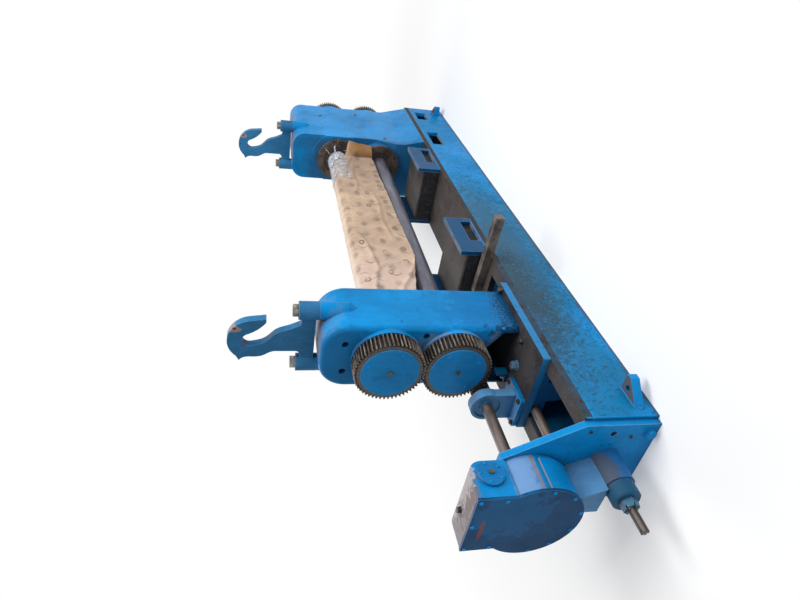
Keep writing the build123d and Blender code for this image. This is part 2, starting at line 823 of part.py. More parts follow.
finish(hook_nuts(housing_middle_x, housing_crown), "outboard_hook_nuts")

# Adjusting ring gears with their sleeves and blank caps
first_tooth = 90.0
cap_seat_x = gear_front_x + gear_cap_thickness - gear_cap_proud
for height, place in zip(arbor_heights, ("lower", "upper")):
    with BuildPart() as ring_gear:
        with BuildSketch(about(gear_front_x, 0, height)):
            with BuildLine():
                Polyline(*gear_outline(ring_teeth, first_tooth), close=True)
            make_face()
            Circle(sleeve_diameter / 2, mode=Mode.SUBTRACT)
        extrude(amount=ring_face)
        with BuildSketch(across(gear_front_x)):
            with Locations((0, height)):
                Circle((gear_cap_diameter + seat_clearance) / 2)
        extrude(amount=cap_seat_x - gear_front_x, mode=Mode.SUBTRACT)
    finish(ring_gear, f"{place}_ring_gear")

    with BuildPart() as gear_cap:
        with BuildSketch(across(gear_front_x - gear_cap_proud)):
            with Locations((0, height)):
                Circle(gear_cap_diameter / 2)
        extrude(amount=gear_cap_thickness)
        chamfer(gear_cap.faces().sort_by(Axis.X)[0].edges(), gear_cap_chamfer)
    finish(gear_cap, f"{place}_gear_cap")

    with BuildPart() as sleeve:
        with BuildSketch(across(cap_seat_x)):
            with Locations((0, height)):
                Circle(sleeve_diameter / 2)
        extrude(amount=housing_back_x + slide_clearance - cap_seat_x)
        with BuildSketch(across(housing_back_x + slide_clearance)):
            with Locations((0, height)):
                Circle(sleeve_flange_diameter / 2)
        extrude(amount=sleeve_flange_thickness)
        with BuildSketch(across(housing_x)):
            with Locations((0, height)):
                Circle(arbor_diameter / 2 + running_clearance)
        extrude(amount=housing_thickness + slide_clearance + sleeve_flange_thickness, mode=Mode.SUBTRACT)
    finish(sleeve, f"{place}_sleeve")

# Pinion on the adjusting shaft
pinion_direction = degrees(atan2(adjust_height - arbor_height, adjust_offset))
pinion_phase = mesh_phase(pinion_teeth, ring_teeth, first_tooth, pinion_direction)
with BuildPart() as pinion:
    with BuildSketch(about(gear_front_x + (ring_face - pinion_face) / 2, adjust_offset, adjust_height)):
        with BuildLine():
            Polyline(*gear_outline(pinion_teeth, pinion_phase), close=True)
        make_face()
        Circle(adjust_shaft_diameter / 2 + running_clearance, mode=Mode.SUBTRACT)
    extrude(amount=pinion_face)
finish(pinion, "pinion")


def drive_outline():
    """Cross-section of the drive housing, with a bulge for the input shaft low on the left."""
    Polyline(
        (-half_width, bed_top),
        (-half_housing, bed_top + right_ledge_rise),
        (-half_housing, drive_crown),
        (half_housing, drive_crown),
        (half_housing, ledge_high),
        (bulge_y, ledge_low),
        (bulge_y, bed_top),
        close=True,
    )


# Drive housing with a stepped foot, gear collars, bearing seats and post bosses
drive_hook_x = drive_x + drive_hook_setback
side_boss_x = drive_end_x - side_boss_setback
side_boss_z = arbor_height + side_boss_rise
drive_block_end_x = drive_end_x - drive_collar_thickness
with BuildPart() as drive_housing:
    with BuildSketch(across(drive_foot_x)):
        with BuildLine():
            drive_outline()
        make_face()
    extrude(amount=drive_block_end_x - drive_foot_x)
    with BuildSketch(Plane.XZ.offset(-bulge_y)):
        with BuildLine():
            Polyline(
                (drive_foot_x, ledge_low),
                (drive_x, ledge_high),
                (drive_x, drive_crown),
                (drive_foot_x, drive_crown),
                close=True,
            )
        make_face()
    extrude(amount=half_width + bulge_y, mode=Mode.SUBTRACT)
    fillet(drive_housing.edges().filter_by(Axis.X).group_by(Axis.Z)[-1], drive_shoulder_radius)
    end_rim = drive_housing.faces().sort_by(Axis.X)[-1].edges()
    fillet(end_rim.filter_by(lambda edge: edge.center().Z > ledge_high), drive_rim_radius)
    post_bosses(drive_hook_x, drive_crown, drive_shoulder_radius)
    with BuildSketch(across(drive_block_end_x - drive_rim_radius)):
        for height in arbor_heights:
            with Locations((0, height)):
                Circle(gear_collar_diameter / 2)
        with Locations((input_offset, input_height)):
            Circle(input_collar_diameter / 2)
        with BuildLine():
            drive_outline()
        make_face(mode=Mode.INTERSECT)
    extrude(amount=drive_rim_radius + drive_collar_thickness)
    with BuildSketch(across(drive_x - drive_arch_thickness)):
        with Locations((0, arbor_heights[1])):
            Circle(drive_arch_radius)
        with BuildLine():
            drive_outline()
        make_face(mode=Mode.INTERSECT)
    extrude(amount=drive_arch_thickness)
    with BuildSketch(across(drive_foot_x)):
        with Locations((0, arbor_heights[0])):
            Circle(drive_flange_diameter / 2)
    extrude(amount=drive_foot_step)
    with BuildSketch(Plane.XZ.offset(-half_width)):
        with Locations((side_boss_x, side_boss_z)):
            Circle(side_cap_steps[0][0] / 2 + side_boss_margin)
    extrude(amount=side_boss_depth)
    with BuildSketch(across(drive_foot_x)):
        for height in arbor_heights:
            with Locations((0, height)):
                Circle(arbor_diameter / 2 + bore_clearance)
    extrude(amount=drive_end_x - drive_foot_x, mode=Mode.SUBTRACT)
    with BuildSketch(across(drive_end_x - input_shaft_depth)):
        with Locations((input_offset, input_height)):
            Circle(input_seat_diameter / 2 + running_clearance)
    extrude(amount=input_shaft_depth, mode=Mode.SUBTRACT)
finish(drive_housing, "drive_housing")
finish(lifting_hook(drive_hook_x, drive_crown), "drive_hook")
finish(hook_nuts(drive_hook_x, drive_crown), "drive_hook_nuts")

# Bearing flanges that carry the arbors, one pair at each face of the drive housing
inner_faces = (drive_foot_x, drive_x - drive_arch_thickness)
with BuildPart() as inner_flanges:
    for height, face_x in zip(arbor_heights, inner_faces):
        with BuildSketch(across(face_x - drive_flange_thickness)):
            with Locations((0, height)):
                Circle(drive_flange_diameter / 2)
                Circle(drive_flange_diameter / 2 - flange_rim, mode=Mode.SUBTRACT)
        extrude(amount=drive_flange_thickness)
        with BuildSketch(across(face_x - drive_flange_thickness / 2)):
            with Locations((0, height)):
                Circle(drive_flange_diameter / 2 - flange_rim + flange_lap)
                Circle(arbor_diameter / 2 + running_clearance, mode=Mode.SUBTRACT)
        extrude(amount=drive_flange_thickness / 2)
finish(inner_flanges, "inner_bearing_flanges")

with BuildPart() as outer_flanges:
    for height in arbor_heights:
        with BuildSketch(across(drive_end_x)):
            with Locations((0, height)):
                Circle(outer_flange_diameter / 2)
                Circle(gear_seat_diameter / 2 + running_clearance, mode=Mode.SUBTRACT)
        extrude(amount=drive_gear_gap - flange_running_gap)
    with BuildSketch(across(drive_end_x)):
        with Locations((input_offset, input_height)):
            Circle(input_flange_diameter / 2)
            Circle(input_seat_diameter / 2 + running_clearance, mode=Mode.SUBTRACT)
    extrude(amount=drive_gear_gap - flange_running_gap)
finish(outer_flanges, "outer_bearing_flanges")

# Stepped bearing cap on the far side of the drive housing
with BuildPart() as side_cap:
    cap_y = half_width
    for diameter, thickness in side_cap_steps:
        with BuildSketch(Plane.XZ.offset(-cap_y)):
            with Locations((side_boss_x, side_boss_z)):
                Circle(diameter / 2)
        extrude(amount=-thickness)
        cap_y = cap_y + thickness
finish(side_cap, "side_bearing_cap")

# Arbors with their drive gears
arbor_near_x = housing_x + arbor_end_setback
for height, tail, place in zip(arbor_heights, (lower_tail, stub_length), ("lower", "upper")):
    with BuildPart() as arbor:
        with BuildSketch(across(arbor_near_x)):
            with Locations((0, height)):
                Circle(arbor_diameter / 2)
        extrude(amount=drive_end_x - arbor_near_x)
        with BuildSketch(across(drive_end_x)):
            with Locations((0, height)):
                Circle(gear_seat_diameter / 2)
        extrude(amount=drive_gear_gap + drive_face)
        with BuildSketch(across(drive_gear_x + drive_face)):
            with Locations((0, height)):
                Circle(stub_diameter / 2)
        extrude(amount=tail)
        chamfer(arbor.faces().sort_by(Axis.X)[-1].edges(), stub_chamfer)
    finish(arbor, f"{place}_arbor")

    with BuildPart() as drive_gear:
        with BuildSketch(about(drive_gear_x, 0, height)):
            with BuildLine():
                Polyline(*gear_outline(ring_teeth, first_tooth), close=True)
            make_face()
            Circle(gear_seat_diameter / 2 + running_clearance, mode=Mode.SUBTRACT)
        extrude(amount=drive_face)
        with BuildSketch(across(drive_gear_x + drive_face - web_recess)):
            with Locations((0, height)):
                Circle(ring_pitch_radius - web_rim)
                Circle(gear_seat_diameter / 2 + web_hub, mode=Mode.SUBTRACT)
        extrude(amount=web_recess, mode=Mode.SUBTRACT)
    finish(drive_gear, f"{place}_drive_gear")

# Input gear and its shaft, low on the left
input_direction = degrees(atan2(input_height - arbor_height, input_offset))
input_phase = mesh_phase(input_teeth, ring_teeth, first_tooth, input_direction)
with BuildPart() as input_gear:
    with BuildSketch(about(drive_gear_x, input_offset, input_height)):
        with BuildLine():
            Polyline(*gear_outline(input_teeth, input_phase), close=True)
        make_face()
        Circle(input_seat_diameter / 2 + running_clearance, mode=Mode.SUBTRACT)
    extrude(amount=drive_face)
finish(input_gear, "input_gear")

with BuildPart() as input_shaft:
    with BuildSketch(across(drive_end_x - input_shaft_depth)):
        with Locations((input_offset, input_height)):
            Circle(input_seat_diameter / 2)
    extrude(amount=input_shaft_depth + drive_gear_gap + drive_face)
    with BuildSketch(across(drive_gear_x + drive_face)):
        with Locations((input_offset, input_height)):
            Circle(input_stub_diameter / 2)
    extrude(amount=input_stub_length)
    chamfer(input_shaft.faces().sort_by(Axis.X)[-1].edges(), stub_chamfer)
finish(input_shaft, "input_shaft")

# Protective paper hung over the upper arbor, and film wound round its far end
wrap_inner = arbor_diameter / 2 + soft_clearance
wrap_outer = wrap_inner + wrap_thickness
wrap_x = housing_back_x + wrap_start
film_end_x = drive_x - drive_arch_thickness - drive_flange_thickness - film_end_gap
film_x = film_end_x - film_length
with BuildPart() as paper_wrap:
    with BuildSketch(across(wrap_x)):
        with Locations((0, arbor_heights[1])):
            Circle(wrap_outer)
        with Locations((0, arbor_heights[1] - skirt_drop / 2)):
            Rectangle(2 * wrap_outer, skirt_drop)
            Rectangle(2 * wrap_inner, skirt_drop, mode=Mode.SUBTRACT)
        with Locations((0, arbor_heights[1])):
            Circle(wrap_inner, mode=Mode.SUBTRACT)
    extrude(amount=film_x - wrap_x)
finish(paper_wrap, "paper_wrap")

with BuildPart() as film_wrap:
    with BuildSketch(across(film_x)):
        with Locations((0, arbor_heights[1])):
            Circle(wrap_inner + film_thickness)
            Circle(wrap_inner, mode=Mode.SUBTRACT)
    extrude(amount=film_length)
finish(film_wrap, "film_wrap")
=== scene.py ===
"""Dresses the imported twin-arbor slitter head: enamel, oil, wear, bolts, welds, paper, film and studio.

Metres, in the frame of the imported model: +X along the arbors towards the drive end, +Z up.
"""

from __future__ import annotations

import logging
from collections.abc import Callable, Iterable, Sequence
from dataclasses import dataclass
from enum import Enum
from math import cos, exp, pi, radians, sin, tau
from typing import TypeAlias

import bmesh
import bpy
from mathutils import Matrix, Vector, noise


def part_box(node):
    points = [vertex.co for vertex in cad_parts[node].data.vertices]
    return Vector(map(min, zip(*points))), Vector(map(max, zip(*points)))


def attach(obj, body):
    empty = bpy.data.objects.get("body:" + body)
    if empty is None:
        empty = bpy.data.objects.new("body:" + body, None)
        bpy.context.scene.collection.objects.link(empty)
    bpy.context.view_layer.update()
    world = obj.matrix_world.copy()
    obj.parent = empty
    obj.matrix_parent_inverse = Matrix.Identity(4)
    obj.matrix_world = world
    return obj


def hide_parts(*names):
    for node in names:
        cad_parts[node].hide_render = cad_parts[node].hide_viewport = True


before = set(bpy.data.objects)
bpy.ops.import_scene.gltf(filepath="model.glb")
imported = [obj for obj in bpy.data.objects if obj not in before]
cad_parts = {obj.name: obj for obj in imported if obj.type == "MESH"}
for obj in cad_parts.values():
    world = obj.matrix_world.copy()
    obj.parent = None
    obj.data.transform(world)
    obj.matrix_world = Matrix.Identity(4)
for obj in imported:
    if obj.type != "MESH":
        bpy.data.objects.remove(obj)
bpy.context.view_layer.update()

logging.basicConfig(level=logging.INFO, format="%(message)s")
log = logging.getLogger("slitter_head")

Colour = tuple[float, float, float]
Point = tuple[float, float, float]
Flat = tuple[float, float]
Socket = bpy.types.NodeSocket
Value: TypeAlias = "Wire | float | tuple[float, ...]"


def tone(red: int, green: int, blue: int) -> Colour:
    """Gives a display colour, written from 0 to 255, as scene-linear values.

    Args:
        red: Red from 0 to 255.
        green: Green from 0 to 255.
        blue: Blue from 0 to 255.

    Returns:
        The three linear values.
    """
    shares = [level / 255 for level in (red, green, blue)]
    parts = [share / 12.92 if share <= 0.04045 else ((share + 0.055) / 1.055) ** 2.4 for share in shares]
    return (parts[0], parts[1], parts[2])


def toned(colour: Colour, factor: float, lift: float = 0.0) -> Colour:
    """Gives a colour made darker or lighter by a factor."""
    return tuple(min(1.0, factor * part + lift) for part in colour)


AZURE = tone(0, 129, 195)
WORN_AZURE = tone(112, 164, 200)
DUSK_BLUE = tone(46, 108, 152)
TEAL_BLUE = tone(0, 62, 104)
PRIMER = tone(26, 36, 46)
DUST = tone(122, 118, 118)
OIL = tone(20, 17, 16)
RUST = tone(122, 62, 38)
TAN = tone(168, 148, 122)
BARE = tone(150, 146, 140)
WHITE: Colour = (1.0, 1.0, 1.0)

TOWARDS_CRANK, TOWARDS_DRIVE = (-1, 0, 0), (1, 0, 0)
TOWARDS_OPERATOR, AWAY_FROM_OPERATOR, UP = (0, -1, 0), (0, 1, 0), (0, 0, 1)
HOUSING_HALF = 0.176  # half the width of both housings above their feet and ledges


class Wire:
    """An output in a node tree, which takes part in sums written as plain arithmetic."""

    def __init__(self, graph: Graph, socket: Socket) -> None:
        """Keeps the output and the graph that it is in."""
        self.graph, self.socket = graph, socket

    def __add__(self, other: Value) -> Wire:
        """Gives this plus another."""
        return self.graph.math("ADD", self, other)

    def __sub__(self, other: Value) -> Wire:
        """Gives this less another."""
        return self.graph.math("SUBTRACT", self, other)

    def __rsub__(self, other: Value) -> Wire:
        """Gives another less this."""
        return self.graph.math("SUBTRACT", other, self)

    def __mul__(self, other: Value) -> Wire:
        """Gives this times another."""
        return self.graph.math("MULTIPLY", self, other)

    def __truediv__(self, other: Value) -> Wire:
        """Gives this divided by another."""
        return self.graph.math("DIVIDE", self, other)

    def __abs__(self) -> Wire:
        """Gives this without its sign."""
        return self.graph.math("ABSOLUTE", self)


class Graph:
    """A node tree with short calls that place nodes and join them."""

    def __init__(self, tree: bpy.types.NodeTree) -> None:
        """Keeps the tree that the nodes go into."""
        self.tree = tree

    def feed(self, socket: Socket, value: Value) -> None:
        """Links an input to a wire, or sets its number, vector or colour.

        Args:
            socket: The input to fill.
            value: What it takes.
        """
        if isinstance(value, Wire):
            self.tree.links.new(value.socket, socket)
        elif isinstance(value, tuple) and socket.type == "RGBA":
            socket.default_value = (*value, 1.0)
        else:
            socket.default_value = value

    def fill(self, placed: bpy.types.Node, **inputs: Value) -> None:
        """Feeds a node's inputs by name, with _ for a space."""
        for name, value in inputs.items():
            self.feed(placed.inputs[name.replace("_", " ")], value)

    def node(
        self, kind: str, *values: Value, options: dict[str, object] | None = None, **inputs: Value
    ) -> bpy.types.Node:
        """Places a node, sets its options and fills its inputs.

        Args:
            kind: Blender's type name of the node, without its ShaderNode.
            *values: What its first inputs take, in order.
            options: Attributes of the node, by name.
            **inputs: What its other inputs take, by name.

        Returns:
            The node.
        """
        placed = self.tree.nodes.new(f"ShaderNode{kind}")
        for option, value in (options or {}).items():
            setattr(placed, option, value)
        for index, value in enumerate(values):
            self.feed(placed.inputs[index], value)
        self.fill(placed, **inputs)
        return placed

    def out(self, kind: str, *values: Value, port: int | str = 0, **inputs: object) -> Wire:
        """Places a node and gives one of its outputs, the first unless another is named."""
        return Wire(self, self.node(kind, *values, **inputs).outputs[port])

    def math(self, operation: str, first: Value, second: Value = 0.0) -> Wire:
        """Gives the result of a sum on one or two numbers."""
        return self.out("Math", first, second, options={"operation": operation})

    def most(self, first: Value, second: Value) -> Wire:
        """Gives the greater of two numbers."""
        return self.math("MAXIMUM", first, second)

    def vector(self, operation: str, *values: Value) -> Wire:
        """Gives the result of a sum on vectors."""
        port = "Value" if operation in ("LENGTH", "DOT_PRODUCT") else "Vector"
        return self.out("VectorMath", *values, port=port, options={"operation": operation})

    def mix(self, kind: str, first: int, port: int, values: tuple[Value, Value, Value]) -> Wire:
        """Places a mix node of a kind, whose values start at an input, and gives its output.

        Args:
            kind: Blender's name for what it mixes.
            first: The input where its values start.
            port: Its output's index.
            values: The share and the two values.

        Returns:
            The output.
        """
        placed = self.node("Mix", values[0], options={"data_type": kind})
        for index, value in enumerate(values[1:]):
            self.feed(placed.inputs[first + index], value)
        return Wire(self, placed.outputs[port])

    def blend(self, share: Value, under: Value, over: Value) -> Wire:
        """Gives one colour laid over another by a share from 0 to 1."""
        return self.mix("RGBA", 6, 2, (share, under, over))

    def lerp(self, share: Value, under: Value, over: Value) -> Wire:
        """Gives a number between two others by a share from 0 to 1."""
        return self.mix("FLOAT", 2, 0, (share, under, over))

    def layers(self, colour: Value, *coats: tuple[Value, Value]) -> Wire:
        """Gives a colour with others laid over it in order, each by its share.

        Args:
            colour: The colour under them.
            *coats: Each one's share and colour.

        Returns:
            The colour on top.
        """
        for share, over in coats:
            colour = self.blend(share, colour, over)
        return colour

    def ramp(self, value: Value, low: Value, high: Value) -> Wire:
        """Gives 0 below low, 1 above high and a smooth step between."""
        smooth = {"interpolation_type": "SMOOTHSTEP"}
        return self.out("MapRange", options=smooth, Value=value, From_Min=low, From_Max=high)

    def fade(self, value: Value, low: Value, high: Value) -> Wire:
        """Gives 1 below low, 0 above high and a smooth step between."""
        return 1.0 - self.ramp(value, low, high)

    def place(self) -> Wire:
        """Gives the point on the piece, in metres."""
        return self.out("TexCoord", port="Object")

    def facing_up(self) -> Wire:
        """Gives how far the piece's own normal points up."""
        return self.parts(self.out("TexCoord", port="Normal"))[2]

    def stretched(self, vector: Wire, scale: Value) -> Wire:
        """Gives a point with each direction scaled."""
        return self.vector("MULTIPLY", vector, scale)

    def grain(self, vector: Wire, scale: Value, detail: float = 4.0, rough: float = 0.55) -> Wire:
        """Gives cloudy noise from 0 to 1 at a scale per metre."""
        return self.out("TexNoise", Vector=vector, Scale=scale, Detail=detail, Roughness=rough)

    def streaks(self, vector: Wire, scales: Point, detail: float, rough: float) -> Wire:
        """Gives noise from 0 to 1 with a scale per metre for each direction."""
        return self.grain(self.stretched(vector, scales), 1.0, detail, rough)

    def parts(self, vector: Wire) -> list[Wire]:
        """Gives a vector's three values."""
        return [Wire(self, port) for port in self.node("SeparateXYZ", vector).outputs]

    def bump(self, height: Wire, strength: float, distance: float) -> Wire:
        """Gives the normal that a height makes."""
        return self.out("Bump", Height=height, Strength=strength, Distance=distance)

    def seen_by(self, *rays: str) -> Wire:
        """Gives 1 for the named kinds of ray and 0 for others.

        Args:
            *rays: The kinds of ray.

        Returns:
            The 1 or 0.
        """
        outputs = self.node("LightPath").outputs
        seen = Wire(self, outputs[rays[0]])
        for ray in rays[1:]:
            seen = self.most(seen, Wire(self, outputs[ray]))
        return seen


class Effect(Enum):
    """The shared shader effects, by the names of their node groups."""

    EDGES = "worn edges and crevice grime and shade"
    DUST = "settled dust"
    OIL = "oil film"
    BRUSH = "brush marks"
    NICKS = "paint nicks"
    STAIN = "local stain"
    LATHE = "lathe rings"
    RADIUS = "distance from an axis"


Wires = dict[str, Wire]
Maker = Callable[[Graph, Wires], Wires]


class EffectShelf:
    """Builds each shared effect once as a node group and places it in materials."""

    def __init__(self) -> None:
        """Lists each effect's maker and its inputs with their usual values."""
        nowhere, small = (0.0, 0.0, 0.0), (0.1, 0.1, 0.1)
        self.trees: dict[Effect, bpy.types.NodeTree] = {}
        self.makers: dict[Effect, tuple[Maker, dict[str, float | Point]]] = {
            Effect.EDGES: (self.worn_edges, {"Radius": 0.004, "Breakup": 45.0, "Amount": 0.6}),
            Effect.DUST: (self.settled_dust, {"Amount": 0.6, "Scale": 9.0, "Cover": 0.4}),
            Effect.OIL: (self.oil_film, {"Amount": 0.5, "Scale": 7.0}),
            Effect.BRUSH: (self.brush_marks, {"Scale": 1.0}),
            Effect.NICKS: (self.paint_nicks, {"Amount": 0.3}),
            Effect.STAIN: (self.local_stain, {"Centre": nowhere, "Size": small, "Ragged": 0.5, "Scale": 22.0}),
            Effect.LATHE: (self.lathe_rings, {"Rings": 420.0}),
            Effect.RADIUS: (self.axis_distance, {"Axis Y": 0.0, "Axis Z": 0.0, "Inner": 0.0, "Outer": 1.0}),
        }

    def use(self, graph: Graph, effect: Effect, **inputs: Value) -> Wires:
        """Places an effect in a material's tree.

        Args:
            graph: The tree that takes the effect.
            effect: Which effect.
            **inputs: Values or wires by input name, with _ for a space.

        Returns:
            The effect's outputs by name.
        """
        if effect not in self.trees:
            self.trees[effect] = self.build(effect)
        placed = graph.node("Group", options={"node_tree": self.trees[effect]}, **inputs)
        return {port.name: Wire(graph, port) for port in placed.outputs}

    def mask(self, graph: Graph, effect: Effect, **inputs: Value) -> Wire:
        """Places an effect of one mask and gives the mask."""
        return self.use(graph, effect, **inputs)["Mask"]

    def build(self, effect: Effect) -> bpy.types.NodeTree:
        """Makes an effect's node group.

        Args:
            effect: Which effect.

        Returns:
            The group's tree.
        """
        maker, taken = self.makers[effect]
        tree = bpy.data.node_groups.new(effect.value, "ShaderNodeTree")
        for name, value in taken.items():
            kind = "NodeSocketVector" if isinstance(value, tuple) else "NodeSocketFloat"
            tree.interface.new_socket(name=name, in_out="INPUT", socket_type=kind).default_value = value
        graph = Graph(tree)
        inside = tree.nodes.new("NodeGroupInput").outputs
        given = maker(graph, {name: Wire(graph, inside[name]) for name in taken})
        for name in given:
            tree.interface.new_socket(name=name, in_out="OUTPUT", socket_type="NodeSocketFloat")
        outside = tree.nodes.new("NodeGroupOutput").inputs
        for name, wire in given.items():
            graph.feed(outside[name], wire)
        return tree

    def worn_edges(self, graph: Graph, take: Wires) -> Wires:
        """Rubbed outer edges, and inner corners darkened by ambient occlusion as grime and painted shade.

        Args:
            graph: The tree that takes the nodes.
            take: The effect's inputs by name.

        Returns:
            The masks of the edges and of the crevices, whose darkening is grime and painted shade.
        """
        rounded = graph.out("Bevel", options={"samples": 4}, Radius=take["Radius"])
        match = graph.vector("DOT_PRODUCT", rounded, graph.out("NewGeometry", port="Normal"))
        rough = graph.grain(graph.place(), take["Breakup"], 6.0, 0.7)
        start = rough * 0.30
        edge = graph.ramp(1.0 - match, start, start + 0.10)
        # ambient occlusion: the crevices it darkens stand for grime and painted shade
        hollow = graph.out("AmbientOcclusion", port="AO", options={"samples": 4}, Distance=0.05)
        outer = edge * graph.ramp(hollow, 0.45, 0.75)
        return {"Edge": outer * take["Amount"], "Crevice Grime and Shade": graph.ramp(1.0 - hollow + rough, 0.75, 1.45)}

    def settled_dust(self, graph: Graph, take: Wires) -> Wires:
        """Dust on what faces up, in uneven drifts.

        Args:
            graph: The tree that takes the nodes.
            take: The effect's inputs by name.

        Returns:
            The mask.
        """
        up = graph.ramp(graph.facing_up(), 0.45, 0.95)
        low = 0.52 - take["Cover"] * 0.5
        drift = graph.ramp(graph.grain(graph.place(), take["Scale"], 6.0, 0.62), low, low + 0.3)
        return {"Mask": up * drift * take["Amount"]}

    def oil_film(self, graph: Graph, take: Wires) -> Wires:
        """Oil in blotches and long runs down the upright faces.

        Args:
            graph: The tree that takes the nodes.
            take: The effect's inputs by name.

        Returns:
            The mask.
        """
        point = graph.place()
        blotch = graph.grain(point, take["Scale"], 7.0, 0.66)
        run = graph.streaks(point, (26.0, 26.0, 1.6), 4.0, 0.6)
        low = 0.76 - take["Amount"] * 0.34
        return {"Mask": graph.ramp(blotch * 0.68 + run * 0.42, low, low + 0.16)}

    def brush_marks(self, graph: Graph, take: Wires) -> Wires:
        """Strokes, runs and orange peel of paint laid by hand.

        Args:
            graph: The tree that takes the nodes.
            take: The effect's inputs by name.

        Returns:
            The strokes' shade and height.
        """
        point = graph.stretched(graph.place(), take["Scale"])
        cloud = graph.grain(point, 3.4, 8.0, 0.68)
        stroke = graph.streaks(point, (38.0, 38.0, 11.0), 5.0, 0.66)
        peel = graph.grain(point, 190.0, 3.0, 0.5)
        return {"Shade": graph.lerp(0.22, cloud, stroke), "Height": graph.lerp(0.5, stroke, peel)}

    def paint_nicks(self, graph: Graph, take: Wires) -> Wires:
        """Small chips and short slanting scratches through the paint.

        Args:
            graph: The tree that takes the nodes.
            take: The effect's inputs by name.

        Returns:
            The mask.
        """
        point = graph.place()
        low = 0.74 - take["Amount"] * 0.10
        chip = graph.ramp(graph.grain(point, 62.0, 5.0, 0.7), low, low + 0.015)
        slant = graph.out("VectorRotate", options={"rotation_type": "Y_AXIS"}, Vector=point, Angle=radians(24))
        slash = graph.streaks(slant, (120.0, 60.0, 17.0), 3.0, 0.6)
        return {"Mask": graph.most(chip, graph.ramp(slash, low, low + 0.02))}

    def local_stain(self, graph: Graph, take: Wires) -> Wires:
        """One ragged patch about a point.

        Args:
            graph: The tree that takes the nodes.
            take: The effect's inputs by name.

        Returns:
            The mask.
        """
        offset = graph.vector("SUBTRACT", graph.place(), take["Centre"])
        far = graph.vector("LENGTH", graph.vector("DIVIDE", offset, take["Size"]))
        rough = graph.grain(graph.place(), take["Scale"], 7.0, 0.68) - 0.5
        return {"Mask": graph.fade(far + rough * take["Ragged"] * 4.0, 0.72, 1.05)}

    def lathe_rings(self, graph: Graph, take: Wires) -> Wires:
        """Fine rings of a turned shaft, with longer smears.

        Args:
            graph: The tree that takes the nodes.
            take: The effect's inputs by name.

        Returns:
            The rings' shade and height.
        """
        point = graph.place()
        line = {"noise_dimensions": "1D"}
        rings = graph.out("TexNoise", options=line, W=graph.parts(point)[0], Scale=take["Rings"], Detail=3.0)
        smear = graph.streaks(point, (5.0, 22.0, 22.0), 5.0, 0.6)
        return {"Shade": graph.lerp(0.7, rings, smear), "Height": rings}

    def axis_distance(self, graph: Graph, take: Wires) -> Wires:
        """0 at an inner radius and 1 at an outer one, about an axis along X.

        Args:
            graph: The tree that takes the nodes.
            take: The effect's inputs by name.

        Returns:
            The mask.
        """
        _, across, up = graph.parts(graph.place())
        side, rise = across - take["Axis Y"], up - take["Axis Z"]
        reach = graph.math("SQRT", side * side + rise * rise)
        return {"Mask": graph.ramp(reach, take["Inner"], take["Outer"])}


SHELF = EffectShelf()
MADE: dict[str, bpy.types.Material] = {}


@dataclass(frozen=True)
class Stain:
    """A local mark: its middle, its half sizes, its colour, and how strong and ragged it is."""

    centre: Point
    size: Point
    colour: Colour
    strength: float = 0.8
    ragged: float = 0.5
    scale: float = 22.0


@dataclass(frozen=True)
class Finish:
    """A surface finish that is made into a material once; its slot names one of the record's material slots."""

    name: str
    stains: tuple[Stain, ...] = ()
    slot: str = "blue_paint"

    def material(self) -> bpy.types.Material:
        """Gives the finish's material, made on the first call.

        Returns:
            The material.
        """
        if self.name not in MADE:
            made = MADE[self.name] = bpy.data.materials.new(self.name)
            made.use_nodes = True
            self.dress(Graph(made.node_tree), made.node_tree.nodes["Principled BSDF"])
        return MADE[self.name]

    def dress(self, graph: Graph, shader: bpy.types.Node) -> None:
        """Joins the finish's nodes to its shader."""
        raise NotImplementedError

    def stained(self, graph: Graph, colour: Wire) -> Wire:
        """Lays the finish's local marks over a colour.

        Args:
            graph: The material's tree.
            colour: The colour under the marks.

        Returns:
            The colour with the marks.
        """
        for mark in self.stains:
            sizes = {"Centre": mark.centre, "Size": mark.size, "Ragged": mark.ragged, "Scale": mark.scale}
            share = SHELF.mask(graph, Effect.STAIN, **sizes) * mark.strength
            colour = graph.blend(share, colour, mark.colour)
        return colour


